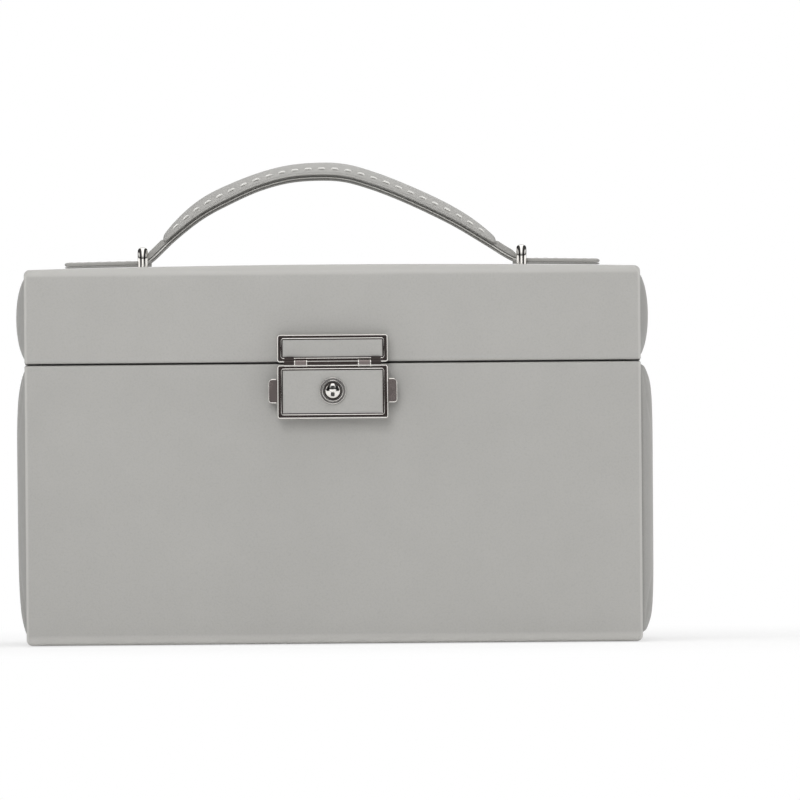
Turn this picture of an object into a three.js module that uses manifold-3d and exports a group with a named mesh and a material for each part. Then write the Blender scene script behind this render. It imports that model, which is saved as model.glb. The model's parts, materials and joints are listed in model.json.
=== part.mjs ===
// Travel jewelry case: a rigid board box and lid in a soft wrap, with padded side panels, a carry
// strap that slides through two loops, a hinged lock flap with squeeze catches and a key barrel, and
// a lifting tray inside. Millimetres, +Z up, front face towards -Y, origin on the floor under the
// middle of the whole case. Left is -X and right is +X.
import * as THREE from "three";
import { mergeVertices } from "three/addons/utils/BufferGeometryUtils.js";
import Module from "manifold-3d";

const wasm = await Module();
wasm.setup();

// ---------------------------------------------------------------- driving dimensions
const HALF_WIDTH = 112.5; // of the wraps
const FRONT_Y = -73.4;
const BACK_Y = 76.6;
const MID_Y = (FRONT_Y + BACK_Y) / 2;
const BODY_TOP = 102.2; // rim of the body
const LID_LOW = 102.9; // rim of the lid
const LID_TOP = 137.2; // lid top at its left and right edges
const CROWN = 1.2; // how much higher the lid top is in the middle
const WRAP = 1.0; // thickness of the wrap
const EDGE_RADIUS = 3.0; // outer corner radius of the wrap

// board shells
const BOARD = 3.0; // thickness
const SHELL_HALF_WIDTH = 109.5;
const WRAP_GAP = 0.1; // between wrap and board
const SHELL_RIM_DROP = 0.7; // shell rim to wrap rim
const SHELL_Y0 = FRONT_Y + WRAP + WRAP_GAP;
const SHELL_Y1 = BACK_Y - WRAP - WRAP_GAP;
const BODY_SHELL_Z0 = WRAP + WRAP_GAP;
const LID_SHELL_Z1 = LID_TOP - WRAP - WRAP_GAP;

// linings
const LINER = 1.6; // thickness
const LINER_GAP = 0.2; // between board and lining
const LINER_Z0 = 4.4;
const LIP_TOP = 105.2; // top of the body lining's neck lip
const LID_LINER_Z0 = 106.1;
const LID_LINER_Z1 = 131.7;
const LINER_HALF_WIDTH = SHELL_HALF_WIDTH - BOARD - LINER_GAP;
const LINER_Y0 = SHELL_Y0 + BOARD + LINER_GAP;
const LINER_Y1 = SHELL_Y1 - BOARD - LINER_GAP;

// lifting links, as [y, z]: a parallelogram of lid axis, lid arm pin, case arm pin, case pivot
const shift = ([y, z], [dy, dz]) => [y + dy, z + dz];
const LID_AXIS = [BACK_Y + 2.2, 102.55];
const AXIS_TO_PIN = [-39.5, -14.4];
const AXIS_TO_PIVOT = [-31.2, -28.1];
const LID_ARM_PIN = shift(LID_AXIS, AXIS_TO_PIN);
const CASE_PIVOT = shift(LID_AXIS, AXIS_TO_PIVOT);
const CASE_ARM_PIN = shift(LID_ARM_PIN, AXIS_TO_PIVOT);
const LID_SCREW = [LID_AXIS[0] - 27, 119];
const PIVOT_BORE = 1.9; // radius, also for the tray pins
const SCREW_BORE = 1.5; // radius

// handle
const LOOP_X = 69.5;

// limits for cutting tools, below and above every piece
const UNDER = -10;
const OVER = 150;

// ---------------------------------------------------------------- solids
const toSolid = (geometry) => {
  const bare = geometry.clone();
  bare.deleteAttribute("normal");
  bare.deleteAttribute("uv");
  const merged = mergeVertices(bare, 1e-4);
  return new wasm.Manifold(
    new wasm.Mesh({
      numProp: 3,
      vertProperties: new Float32Array(merged.attributes.position.array),
      triVerts: new Uint32Array(merged.index.array),
    }),
  );
};
const fromSolid = (solid) => {
  const mesh = solid.getMesh();
  const positions = new Float32Array(mesh.numVert * 3);
  for (let i = 0; i < mesh.numVert; i++) {
    const start = i * mesh.numProp;
    positions.set(mesh.vertProperties.subarray(start, start + 3), i * 3);
  }
  const geometry = new THREE.BufferGeometry();
  geometry.setAttribute("position", new THREE.BufferAttribute(positions, 3));
  geometry.setIndex(new THREE.BufferAttribute(new Uint32Array(mesh.triVerts), 1));
  return geometry;
};
const join = (...parts) => fromSolid(parts.map(toSolid).reduce((a, b) => a.add(b)));
const cut = (stock, ...tools) =>
  fromSolid(tools.map(toSolid).reduce((a, b) => a.subtract(b), toSolid(stock)));

// ---------------------------------------------------------------- shapes
// The ends of each range may come in either order, so a side's sign can mirror them.
const box = (x0, x1, y0, y1, z0, z1) =>
  new THREE.BoxGeometry(Math.abs(x1 - x0), Math.abs(y1 - y0), Math.abs(z1 - z0)).translate(
    (x0 + x1) / 2,
    (y0 + y1) / 2,
    (z0 + z1) / 2,
  );

const cylX = (radius, x0, x1, [y, z], segments = 12) =>
  new THREE.CylinderGeometry(radius, radius, Math.abs(x1 - x0), segments)
    .rotateZ(Math.PI / 2)
    .translate((x0 + x1) / 2, y, z);

// points on an arc, angles in degrees, n steps
const arc = (cx, cy, radius, from, to, n = 4) =>
  Array.from({ length: n + 1 }, (_, i) => {
    const angle = ((from + ((to - from) * i) / n) * Math.PI) / 180;
    return [cx + radius * Math.cos(angle), cy + radius * Math.sin(angle)];
  });

const roundRect = (xa, xb, ya, yb, r) => {
  const x0 = Math.min(xa, xb) + r;
  const x1 = Math.max(xa, xb) - r;
  const y0 = Math.min(ya, yb) + r;
  const y1 = Math.max(ya, yb) - r;
  return [
    ...arc(x1, y0, r, -90, 0, 8),
    ...arc(x1, y1, r, 0, 90, 8),
    ...arc(x0, y1, r, 90, 180, 8),
    ...arc(x0, y0, r, 180, 270, 8),
  ];
};

const shapeOf = (outline) => new THREE.Shape(outline.map(([x, y]) => new THREE.Vector2(x, y)));
const extrude = (outline, depth, steps = 1) =>
  new THREE.ExtrudeGeometry(shapeOf(outline), { depth, steps, bevelEnabled: false });
const basis = (x, y, z) =>
  new THREE.Matrix4().makeBasis(
    new THREE.Vector3(...x),
    new THREE.Vector3(...y),
    new THREE.Vector3(...z),
  );
const YZ_TO_X = basis([0, 1, 0], [0, 0, 1], [1, 0, 0]);
const XZ_TO_Y = basis([1, 0, 0], [0, 0, 1], [0, -1, 0]);

// a (y, z) outline carried along x
const alongX = (outline, x0, x1, steps) =>
  extrude(outline, Math.abs(x1 - x0), steps)
    .applyMatrix4(YZ_TO_X)
    .translate(Math.min(x0, x1), 0, 0);
// an (x, z) outline carried along y
const alongY = (outline, y0, y1) =>
  extrude(outline, Math.abs(y1 - y0))
    .applyMatrix4(XZ_TO_Y)
    .translate(0, Math.max(y0, y1), 0);
// an (x, y) outline carried along z
const alongZ = (outline, z0, z1) => extrude(outline, z1 - z0).translate(0, 0, z0);

const SIDES = [["left", -1], ["right", 1]];
const bothSides = (make) => [-1, 1].flatMap(make);

// bores through the side walls, links and linings
const sideBores = (radius, at) => bothSides((s) => [cylX(radius, s * 97, s * 112, at)]);

// the two slots that a handle loop's legs pass through
const loopSlots = (side) => {
  const x = side * LOOP_X;
  return bothSides((s) => {
    const y = MID_Y + s * 8.8;
    return [box(x - 2.15, x + 2.15, y - 1.6, y + 1.6, UNDER, OVER)];
  });
};

const crownAt = (x) => CROWN * (1 - (x / HALF_WIDTH) ** 2);
const lidTopAt = (x) => LID_TOP + crownAt(x);

// ---------------------------------------------------------------- finishes
const LEATHER = 0xb0afaa;
const VELVET = 0x5d5b5a;
const NICKEL = 0xd0d0cc;
const STEEL = 0xa8a8a6;
const FINISH = {
  leather: { color: LEATHER, roughness: 0.5, metalness: 0 },
  padLeather: { color: LEATHER, roughness: 0.55, metalness: 0 },
  board: { color: 0x8f8a80, roughness: 0.9, metalness: 0 },
  velvet: { color: VELVET, roughness: 0.95, metalness: 0 },
  frameVelvet: { color: VELVET, roughness: 0.9, metalness: 0 },
  mirror: { color: 0xdfe6ea, roughness: 0.05, metalness: 1 },
  satinNickel: { color: NICKEL, roughness: 0.25, metalness: 1 },
  nickel: { color: NICKEL, roughness: 0.2, metalness: 1 },
  brightNickel: { color: NICKEL, roughness: 0.15, metalness: 1 },
  dullSteel: { color: STEEL, roughness: 0.35, metalness: 1 },
  steel: { color: STEEL, roughness: 0.3, metalness: 1 },
  brightSteel: { color: STEEL, roughness: 0.25, metalness: 1 },
};

const group = new THREE.Group();
const add = (name, geometry, finish) => {
  const mesh = new THREE.Mesh(geometry, new THREE.MeshStandardMaterial(finish));
  mesh.name = name;
  group.add(mesh);
};

// ---------------------------------------------------------------- wraps
// U-shaped (y, depth) outline, turned in over the board's rim; depth runs from the closed end
const wrapOutline = (rim) => {
  const turnIn = rim - 0.6;
  const ease = 0.8; // chamfer on the rim's outer edge
  const r = EDGE_RADIUS;
  const ri = EDGE_RADIUS - WRAP;
  const y0 = FRONT_Y + WRAP;
  const y1 = BACK_Y - WRAP;
  return [
    [y0 + BOARD, rim],
    [FRONT_Y + ease, rim],
    [FRONT_Y, rim - ease],
    ...arc(FRONT_Y + r, r, r, 180, 270),
    ...arc(BACK_Y - r, r, r, 270, 360),
    [BACK_Y, rim - ease],
    [BACK_Y - ease, rim],
    [y1 - BOARD, rim],
    [y1 - BOARD, turnIn],
    [y1, turnIn],
    ...arc(y1 - ri, WRAP + ri, ri, 0, -90),
    ...arc(y0 + ri, WRAP + ri, ri, 270, 180),
    [y0, turnIn],
    [y0 + BOARD, turnIn],
  ];
};

// the body's outline turned over, in steps along x so that its outer top can be crowned
const lidWrap = () => {
  const outline = wrapOutline(LID_TOP - LID_LOW).map(([y, depth]) => [y, LID_TOP - depth]);
  const sleeve = alongX(outline, -HALF_WIDTH, HALF_WIDTH, 10);
  const crownedFrom = LID_TOP - 0.95; // just above the sleeve's inner top
  const position = sleeve.attributes.position;
  for (let i = 0; i < position.count; i++) {
    const z = position.getZ(i);
    if (z > crownedFrom) position.setZ(i, z + crownAt(position.getX(i)));
  }
  return cut(sleeve, ...bothSides(loopSlots));
};

add("body_wrap", alongX(wrapOutline(BODY_TOP), -HALF_WIDTH, HALF_WIDTH), FINISH.leather);
add("lid_wrap", lidWrap(), FINISH.leather);

// ---------------------------------------------------------------- board shells
// open-ended box with its closed end's long edges chamfered
const boardShell = (closedZ, rimZ, ...tools) => {
  const chamfer = 1.7;
  const inward = Math.sign(rimZ - closedZ);
  const outline = [
    [SHELL_Y0, rimZ],
    [SHELL_Y0, closedZ + inward * chamfer],
    [SHELL_Y0 + chamfer, closedZ],
    [SHELL_Y1 - chamfer, closedZ],
    [SHELL_Y1, closedZ + inward * chamfer],
    [SHELL_Y1, rimZ],
  ];
  const x = SHELL_HALF_WIDTH - BOARD;
  const openZ = inward > 0 ? OVER : UNDER;
  return cut(
    alongX(outline, -SHELL_HALF_WIDTH, SHELL_HALF_WIDTH),
    box(-x, x, SHELL_Y0 + BOARD, SHELL_Y1 - BOARD, closedZ + inward * BOARD, openZ),
    ...tools,
  );
};

add(
  "body_shell",
  boardShell(BODY_SHELL_Z0, BODY_TOP - SHELL_RIM_DROP, ...sideBores(PIVOT_BORE, CASE_PIVOT)),
  FINISH.board,
);
add(
  "lid_shell",
  boardShell(
    LID_SHELL_Z1,
    LID_LOW + SHELL_RIM_DROP,
    ...bothSides(loopSlots),
    ...sideBores(SCREW_BORE, LID_SCREW),
  ),
  FINISH.board,
);

// ---------------------------------------------------------------- padded side panels
const PAD_INSET = 0.9; // from the wrap's inner faces
const PAD_RIM_INSET = 0.8;
const PAD_BACK = SHELL_HALF_WIDTH + 0.2;
const PAD_EDGE = 111.6; // outer face at the panel's edges
const PAD_OUT = 115.8; // furthest reach of the outer face

const sidePad = (side, z0, z1) => {
  const y0 = FRONT_Y + WRAP + PAD_INSET;
  const y1 = BACK_Y - WRAP - PAD_INSET;
  const geometry = new THREE.BoxGeometry(1, 1, 1, 1, 8, 6);
  const position = geometry.attributes.position;
  for (let i = 0; i < position.count; i++) {
    const y = position.getY(i);
    const z = position.getZ(i);
    const dome = (1 - Math.abs(2 * y) ** 4) * (1 - Math.abs(2 * z) ** 4);
    const x = position.getX(i) > 0 ? PAD_EDGE + (PAD_OUT - PAD_EDGE) * dome : PAD_BACK;
    position.setXYZ(i, side * x, (y0 + y1) / 2 + y * (y1 - y0), (z0 + z1) / 2 + z * (z1 - z0));
  }
  if (side < 0) {
    // mirroring turns the faces inside out, so their winding is swapped back
    const index = geometry.index.array;
    for (let i = 0; i < index.length; i += 3) {
      [index[i + 1], index[i + 2]] = [index[i + 2], index[i + 1]];
    }
  }
  return geometry;
};

for (const [part, z0, z1] of [
  ["body", WRAP + PAD_INSET, BODY_TOP - PAD_RIM_INSET],
  ["lid", LID_LOW + PAD_RIM_INSET, LID_TOP - WRAP - PAD_INSET],
]) {
  for (const [name, side] of SIDES) {
    add(`${part}_side_pad_${name}`, sidePad(side, z0, z1), FINISH.padLeather);
  }
}

// ---------------------------------------------------------------- linings
// box inside the lining walls, drawn in by a clearance
const insideLiner = (clearance, z0, z1) => {
  const x = LINER_HALF_WIDTH - LINER - clearance;
  return box(-x, x, LINER_Y0 + LINER + clearance, LINER_Y1 - LINER - clearance, z0, z1);
};
const liner = (z0, z1, cavityTop, bores) =>
  cut(
    box(-LINER_HALF_WIDTH, LINER_HALF_WIDTH, LINER_Y0, LINER_Y1, z0, z1),
    insideLiner(0, UNDER, cavityTop),
    ...bores,
  );

const DIVIDER = 2.2; // thickness
const DIVIDER_Y = 0.5; // front face of the long divider
const DIVIDER_Z0 = 6.6;
const DIVIDER_Z1 = 50;
const crossDivider = () => {
  const y0 = LINER_Y0 + LINER + 0.6;
  return box(-DIVIDER / 2, DIVIDER / 2, y0, DIVIDER_Y - 0.4, DIVIDER_Z0, DIVIDER_Z1);
};

const bodyLiner = liner(LINER_Z0, LIP_TOP, OVER, sideBores(PIVOT_BORE, CASE_PIVOT));
const lidLiner = liner(
  LID_LINER_Z0,
  LID_LINER_Z1,
  LID_LINER_Z1 - LINER,
  sideBores(SCREW_BORE, LID_SCREW),
);
add("body_liner", bodyLiner, FINISH.velvet);
add("body_floor_pad", insideLiner(0.3, LINER_Z0, LINER_Z0 + 2), FINISH.velvet);
add(
  "lower_divider_long",
  box(-102.5, 102.5, DIVIDER_Y, DIVIDER_Y + DIVIDER, DIVIDER_Z0, DIVIDER_Z1),
  FINISH.velvet,
);
add("lower_divider_cross", crossDivider(), FINISH.velvet);
add("lid_liner", lidLiner, FINISH.velvet);

// ---------------------------------------------------------------- mirror
const MIRROR_Z0 = 127.3;
const MIRROR_Z1 = 129.9;
// the frame's rectangle drawn in by an inset: [x0, x1, y0, y1]
const mirrorRect = (inset) => [-87 + inset, 87 - inset, MID_Y - 54 + inset, MID_Y + 52 - inset];

add(
  "mirror_frame",
  cut(
    alongZ(roundRect(...mirrorRect(0), 6), MIRROR_Z0, MIRROR_Z1),
    alongZ(roundRect(...mirrorRect(9), 2), UNDER, OVER),
    box(...mirrorRect(6), MIRROR_Z0 + 1, OVER), // rebate for the glass
  ),
  FINISH.frameVelvet,
);
add("mirror_glass", box(...mirrorRect(6.3), MIRROR_Z0 + 1.15, MIRROR_Z1), FINISH.mirror);

// ---------------------------------------------------------------- back hinges
const HINGE_X = 60;
const LEAF_HALF_WIDTH = 17;
const LEAF_NEAR = 2.6; // axis to the plate's near edge
const LEAF_FAR = 19; // axis to the plate's far edge
const HINGE_BARREL_R = 2.1;
// knuckle ranges along x, from the hinge's middle
const UPPER_KNUCKLES = [[-5.6, 5.6]];
const LOWER_KNUCKLES = [[-LEAF_HALF_WIDTH, -6], [6, LEAF_HALF_WIDTH]];

// up is 1 for the lid's leaf and -1 for the body's
const hingeLeaf = (cx, up, knuckles) => {
  const y0 = BACK_Y + 0.1;
  const y1 = BACK_Y + 1.3;
  const axisZ = LID_AXIS[1];
  const near = axisZ + up * LEAF_NEAR;
  const x0 = cx - LEAF_HALF_WIDTH;
  const x1 = cx + LEAF_HALF_WIDTH;
  const plate = alongY(roundRect(x0, x1, near, axisZ + up * LEAF_FAR, 2), y0, y1);
  const rolled = knuckles.flatMap(([a, b]) => [
    cylX(HINGE_BARREL_R, cx + a, cx + b, LID_AXIS, 16),
    box(cx + a, cx + b, y0, y1, axisZ, near + up * 2.2),
  ]);
  return cut(join(plate, ...rolled), cylX(1.15, x0 - 1, x1 + 1, LID_AXIS));
};

for (const [name, side] of SIDES) {
  const cx = side * HINGE_X;
  const pinReach = LEAF_HALF_WIDTH + 0.4;
  add(`hinge_leaf_lower_${name}`, hingeLeaf(cx, -1, LOWER_KNUCKLES), FINISH.satinNickel);
  add(`hinge_leaf_upper_${name}`, hingeLeaf(cx, 1, UPPER_KNUCKLES), FINISH.satinNickel);
  add(`hinge_pin_${name}`, cylX(1.05, cx - pinReach, cx + pinReach, LID_AXIS), FINISH.steel);
}

// ---------------------------------------------------------------- lifting links
const ARM_IN = 101.8;
const ARM_OUT = 103.0;
const ARM_R = 4; // half width and end radius of the arms

// flat round-ended bar between two [y, z] points
const armBar = (side, p, q) => {
  const angle = (Math.atan2(q[1] - p[1], q[0] - p[0]) * 180) / Math.PI;
  const outline = [
    ...arc(...q, ARM_R, angle - 90, angle + 90, 6),
    ...arc(...p, ARM_R, angle + 90, angle + 270, 6),
  ];
  return alongX(outline, side * ARM_IN, side * ARM_OUT);
};
const trayPin = (side, at) => cylX(1.5, side * 98.2, side * ARM_OUT, at);

// arm from the case rivet to the tray, with its tray pin
const caseArm = (side) =>
  cut(
    join(armBar(side, CASE_PIVOT, CASE_ARM_PIN), trayPin(side, CASE_ARM_PIN)),
    ...sideBores(PIVOT_BORE, CASE_PIVOT),
  );

// arm from a foot on the lid's side to the tray, with its tray pin
const lidArm = (side) => {
  const [y, z] = LID_SCREW;
  return cut(
    join(
      armBar(side, [y, z - 2], LID_ARM_PIN),
      alongX(roundRect(y - 8, y + 8, z - 10, z + 6, 2), side * ARM_IN, side * 104.5),
      trayPin(side, LID_ARM_PIN),
    ),
    ...sideBores(SCREW_BORE, LID_SCREW),
  );
};

// coaxial discs along x, as [radius, inner x, outer x]
const fastener = (side, at, discs) =>
  join(...discs.map(([radius, x0, x1]) => cylX(radius, side * x0, side * x1, at)));
const RIVET_DISCS = [[1.6, 101.3, 109.2], [3.2, 101.25, 101.65], [3.2, 103.2, 104.5]];
const SCREW_DISCS = [[1.2, 100.9, 109.2], [2.6, 100.7, 101.6]];

for (const [name, side] of SIDES) {
  add(`tray_arm_${name}`, caseArm(side), FINISH.steel);
  add(`arm_rivet_${name}`, fastener(side, CASE_PIVOT, RIVET_DISCS), FINISH.steel);
  add(`lid_arm_${name}`, lidArm(side), FINISH.steel);
  add(`lid_arm_screw_${name}`, fastener(side, LID_SCREW, SCREW_DISCS), FINISH.steel);
}

// ---------------------------------------------------------------- tray
const TRAY_HALF_WIDTH = 101.0;
const TRAY_Z0 = 56.2;
const TRAY_Z1 = 98.5;
const TRAY_WALL = 2.0;
const TRAY_Y0 = FRONT_Y + 11.0;
const TRAY_Y1 = LID_AXIS[0] - 27.2;
const TRAY_IN_X = TRAY_HALF_WIDTH - TRAY_WALL;
const TRAY_IN_Y0 = TRAY_Y0 + TRAY_WALL;
const TRAY_IN_Y1 = TRAY_Y1 - TRAY_WALL;
const RING_X = -20; // left face of the wall beside the rings
const MIDDLE_X0 = RING_X + TRAY_WALL;
const MIDDLE_X1 = 34; // left face of the wall right of the middle
const RIGHT_X = MIDDLE_X1 + TRAY_WALL;
const KEY_WALL_Y = -28; // front face of the wall behind the key
const RING_FLOOR = 80;
const KEY_FLOOR = 90;

const trayShell = () => {
  const [y0, y1] = [TRAY_IN_Y0, TRAY_IN_Y1];
  const deepFloor = TRAY_Z0 + TRAY_WALL;
  return cut(
    box(-TRAY_HALF_WIDTH, TRAY_HALF_WIDTH, TRAY_Y0, TRAY_Y1, TRAY_Z0, TRAY_Z1),
    box(-TRAY_IN_X, RING_X, y0, y1, RING_FLOOR, OVER), // ring section
    box(-TRAY_IN_X, RING_X, y0, y1, UNDER, RING_FLOOR - TRAY_WALL), // hollow under it
    box(MIDDLE_X0, MIDDLE_X1, y0, y1, deepFloor, OVER), // deep middle section
    box(RIGHT_X, TRAY_IN_X, KEY_WALL_Y + TRAY_WALL, y1, deepFloor, OVER), // deep right section
    box(RIGHT_X, TRAY_IN_X, y0, KEY_WALL_Y, KEY_FLOOR, OVER), // shallow key section
    box(RIGHT_X, TRAY_IN_X, y0, KEY_WALL_Y, UNDER, KEY_FLOOR - TRAY_WALL), // hollow under it
    ...sideBores(PIVOT_BORE, LID_ARM_PIN),
    ...sideBores(PIVOT_BORE, CASE_ARM_PIN),
  );
};

const trayDivider = () => {
  const z0 = TRAY_Z0 + TRAY_WALL + 0.2;
  return box(MIDDLE_X0 + 0.4, MIDDLE_X1 - 0.4, 12.4, 14.4, z0, 96);
};

// ring rolls fill their section from front to back
const ROLL_COUNT = 5;
const ROLL_PITCH = (TRAY_IN_Y1 - TRAY_IN_Y0 - 0.6) / ROLL_COUNT;
const ringRoll = (y) => {
  const half = ROLL_PITCH / 2 - 0.3;
  const r = 5; // shoulder radius
  const top = 99; // of the shoulder arcs' circles
  const outline = [
    [y - half, RING_FLOOR + 0.3],
    [y + half, RING_FLOOR + 0.3],
    ...arc(y + half - r, top - r, r, 0, 60, 3),
    ...arc(y, top - half * 0.55, half * 0.62, 60, 120, 4),
    ...arc(y - half + r, top - r, r, 120, 180, 3),
  ];
  return alongX(outline, -TRAY_IN_X + 1.4, RING_X - 0.4);
};

// flat key: round bow, shoulder, shaft and a square-ended tip, laid along x
const KEY_AT = [49, -44, KEY_FLOOR + 0.3]; // end of the bow on the key's centre line
const BOW_R = 10.35;
// upper edge beyond the bow: [distance along the key, half width]
const KEY_EDGE = [
  [21.4, 4.4], [22.6, 5.2], [24.4, 5.2], [25.6, 2.8],
  [39.2, 2.8], [40, 2.2], [40, 1.1], [35.8, 1.1],
];
const caseKey = () => {
  const edge = [...arc(BOW_R, 0, BOW_R, 180, 25, 14), ...KEY_EDGE];
  const mirrored = edge.slice(1).reverse().map(([x, y]) => [x, -y]);
  const bore = new THREE.CylinderGeometry(3.3, 3.3, 4, 20)
    .rotateX(Math.PI / 2)
    .translate(7.7, 0, 0);
  return cut(alongZ([...edge, ...mirrored], 0, 1.1), bore).translate(...KEY_AT);
};

add("tray_shell", trayShell(), FINISH.velvet);
add("tray_divider", trayDivider(), FINISH.velvet);
for (let i = 0; i < ROLL_COUNT; i++) {
  const y = TRAY_IN_Y0 + 0.3 + ROLL_PITCH * (i + 0.5);
  add(`ring_roll_${i + 1}`, ringRoll(y), FINISH.velvet);
}
add("case_key", caseKey(), FINISH.nickel);

// ---------------------------------------------------------------- handle
const STRAP_HALF_WIDTH = 7.0;
const STRAP = 2; // thickness
const GRIP_HALF_WIDTH = 10.0;
const STRAP_END_X = 98.2;
const LOOP_DEPTH = 1.7; // along x, before the bevels
const LOOP_FOOT = 131.95;
const LOOP_BASE = lidTopAt(LOOP_X); // lid surface at the loops

// thick rounded loop: an inverted U with softened edges, its legs let into the lid
const handleLoop = (side) => {
  const top = LOOP_BASE + 7.3;
  const outer = 10.1;
  const inner = 7.5;
  const r = outer - inner;
  const outline = [
    [MID_Y - outer, LOOP_FOOT],
    [MID_Y - inner, LOOP_FOOT],
    [MID_Y - inner, top - 3.2],
    [MID_Y - inner + 0.8, top - 2.5],
    [MID_Y + inner - 0.8, top - 2.5],
    [MID_Y + inner, top - 3.2],
    [MID_Y + inner, LOOP_FOOT],
    [MID_Y + outer, LOOP_FOOT],
    ...arc(MID_Y + outer - r, top - r, r, 0, 90),
    ...arc(MID_Y - outer + r, top - r, r, 90, 180),
  ];
  return new THREE.ExtrudeGeometry(shapeOf(outline), {
    depth: LOOP_DEPTH,
    bevelEnabled: true,
    bevelThickness: 1.0,
    bevelSize: 0.75,
    bevelOffset: -0.75,
    bevelSegments: 2,
  })
    .applyMatrix4(YZ_TO_X)
    .translate(side * LOOP_X - LOOP_DEPTH / 2, 0, 0);
};

const loopBackplate = (side) => {
  const x = side * LOOP_X;
  const plate = box(x - 5, x + 5, MID_Y - 13.5, MID_Y + 13.5, 131.9, 132.9);
  return cut(plate, ...loopSlots(side));
};

// flat strap end outboard of each loop, rounded at its outer corners
const strapEnd = (side) => {
  const r = 5;
  const inX = LOOP_X + 0.3;
  const z = LOOP_BASE + 0.2;
  const [y0, y1] = [MID_Y - STRAP_HALF_WIDTH, MID_Y + STRAP_HALF_WIDTH];
  const outline = [
    [inX, y0],
    ...arc(STRAP_END_X - r, y0 + r, r, -90, 0),
    ...arc(STRAP_END_X - r, y1 - r, r, 0, 90),
    [inX, y1],
  ];
  return alongZ(outline.map(([x, y]) => [side * x, y]), z, z + STRAP);
};

// underside of the arched strap: [x, height above the lid at the loops]
const STRAP_UNDERSIDE = [
  [-69.2, 0.2], [-66.4, 1.0], [-57.2, 9.0], [-47, 17.1],
  [-36.8, 22.7], [-26.5, 27.2], [-16.2, 29.9], [-6, 30.8],
  [4.2, 30.3], [14.5, 27.3], [24.7, 23.2], [34.9, 18.5],
  [45.2, 13.2], [55.4, 7.0], [65.7, 1.0], [69.2, 0.2],
];
const underside = new THREE.CatmullRomCurve3(
  STRAP_UNDERSIDE.map(([x, z]) => new THREE.Vector3(x, 0, LOOP_BASE + z)),
);

// band over the stretch t0..t1 of the underside; low and high give its offsets above the curve
// at a fraction u of the stretch
const band = (low, high, t0, t1, halfWidth) => {
  const steps = 40;
  const line = (offsetAt) =>
    Array.from({ length: steps + 1 }, (_, i) => {
      const t = t0 + ((t1 - t0) * i) / steps;
      const point = underside.getPoint(t);
      const tangent = underside.getTangent(t);
      const offset = offsetAt(i / steps);
      return [point.x - tangent.z * offset, point.z + tangent.x * offset];
    });
  const outline = [...line(low), ...line(high).reverse()];
  return alongY(outline, MID_Y - halfWidth, MID_Y + halfWidth);
};
// the grip's top rises quickly from each end to its full height
const gripTop = (u) => 2.3 + 4.1 * Math.min(1, Math.min(u, 1 - u) / 0.035) ** 0.5;

for (const [name, side] of SIDES) {
  add(`handle_loop_${name}`, handleLoop(side), FINISH.nickel);
  add(`loop_backplate_${name}`, loopBackplate(side), FINISH.dullSteel);
  add(`strap_end_${name}`, strapEnd(side), FINISH.leather);
}
add("handle_strap", band(() => 0, () => STRAP, 0, 1, STRAP_HALF_WIDTH), FINISH.leather);
add(
  "handle_grip",
  band(() => STRAP + 0.2, gripTop, 0.085, 0.915, GRIP_HALF_WIDTH),
  FINISH.leather,
);

// ---------------------------------------------------------------- lock
// Depths d0 and d1 are distances ahead of the case's front face.
const LOCK_HALF_WIDTH = 20.1;
const LOCK_Z = 92.3; // height of the key barrel and the side tabs
const HASP_DEPTH = 5.8;
const HASP_AXIS = [FRONT_Y - HASP_DEPTH, 102.3]; // flap axis, [y, z]
const HASP_Z = HASP_AXIS[1];
const KNUCKLE_R = 1.2;
const CATCH = [4.35, 3.2]; // depths of the catch plates
// faces with a recess: heights, and the rim left at the sides, bottom and top
const TOP_PLATE = { z0: LID_LOW, z1: 112.8, side: 1.2, bottom: 1.9, top: 1.5 };
const FLAP = { z0: 82.3, z1: 101.7, side: 1.3, bottom: 2.2, top: 1.0 };
const INLAY_GAP = 0.2;

const lockBox = (x0, x1, d0, d1, z0, z1) => box(x0, x1, FRONT_Y - d0, FRONT_Y - d1, z0, z1);
// box given by its half height about LOCK_Z
const midBox = (x0, x1, d0, d1, half) => lockBox(x0, x1, d0, d1, LOCK_Z - half, LOCK_Z + half);
const lockPlate = (outline, d0, d1) => alongY(outline, FRONT_Y - d0, FRONT_Y - d1);
// cylinder on the key barrel's axis
const lockDisc = (radius, d0, d1, segments = 20) =>
  new THREE.CylinderGeometry(radius, radius, d0 - d1, segments).translate(
    0,
    FRONT_Y - (d0 + d1) / 2,
    LOCK_Z,
  );
const haspBore = (radius) => cylX(radius, -20, 20, HASP_AXIS);
const facePlate = ({ z0, z1 }, radius, d0, d1) =>
  lockPlate(roundRect(-LOCK_HALF_WIDTH, LOCK_HALF_WIDTH, z0, z1, radius), d0, d1);
const faceRecess = ({ z0, z1, side, bottom, top }, gap, d0, d1) => {
  const x = LOCK_HALF_WIDTH - side - gap;
  return lockBox(-x, x, d0, d1, z0 + bottom + gap, z1 - top - gap);
};

// keeper on the body: a plate with an undercut window
const keeper = () =>
  cut(
    lockPlate(roundRect(-18.6, 18.6, 84, 100.4, 2), 2.2, 0.1),
    midBox(-15.4, 15.4, 2.5, 1.2, 5),
    midBox(-17.2, 17.2, 1.3, -1, 5),
  );

// top plate on the lid, with two lugs for the flap's pin
const topPlate = () => {
  const lugs = bothSides((s) => [
    cylX(KNUCKLE_R, s * 14.1, s * 17.6, HASP_AXIS),
    lockBox(s * 14.1, s * 17.6, HASP_DEPTH, 3.6, HASP_Z, 104.6),
  ]);
  return cut(
    join(facePlate(TOP_PLATE, 0.8, 4.6, 0.1), ...lugs),
    faceRecess(TOP_PLATE, 0, 5, 3.8),
    lockBox(-13.9, 13.9, 7, 4.2, 100, 104), // room for the flap's knuckles
    haspBore(0.75),
  );
};

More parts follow.
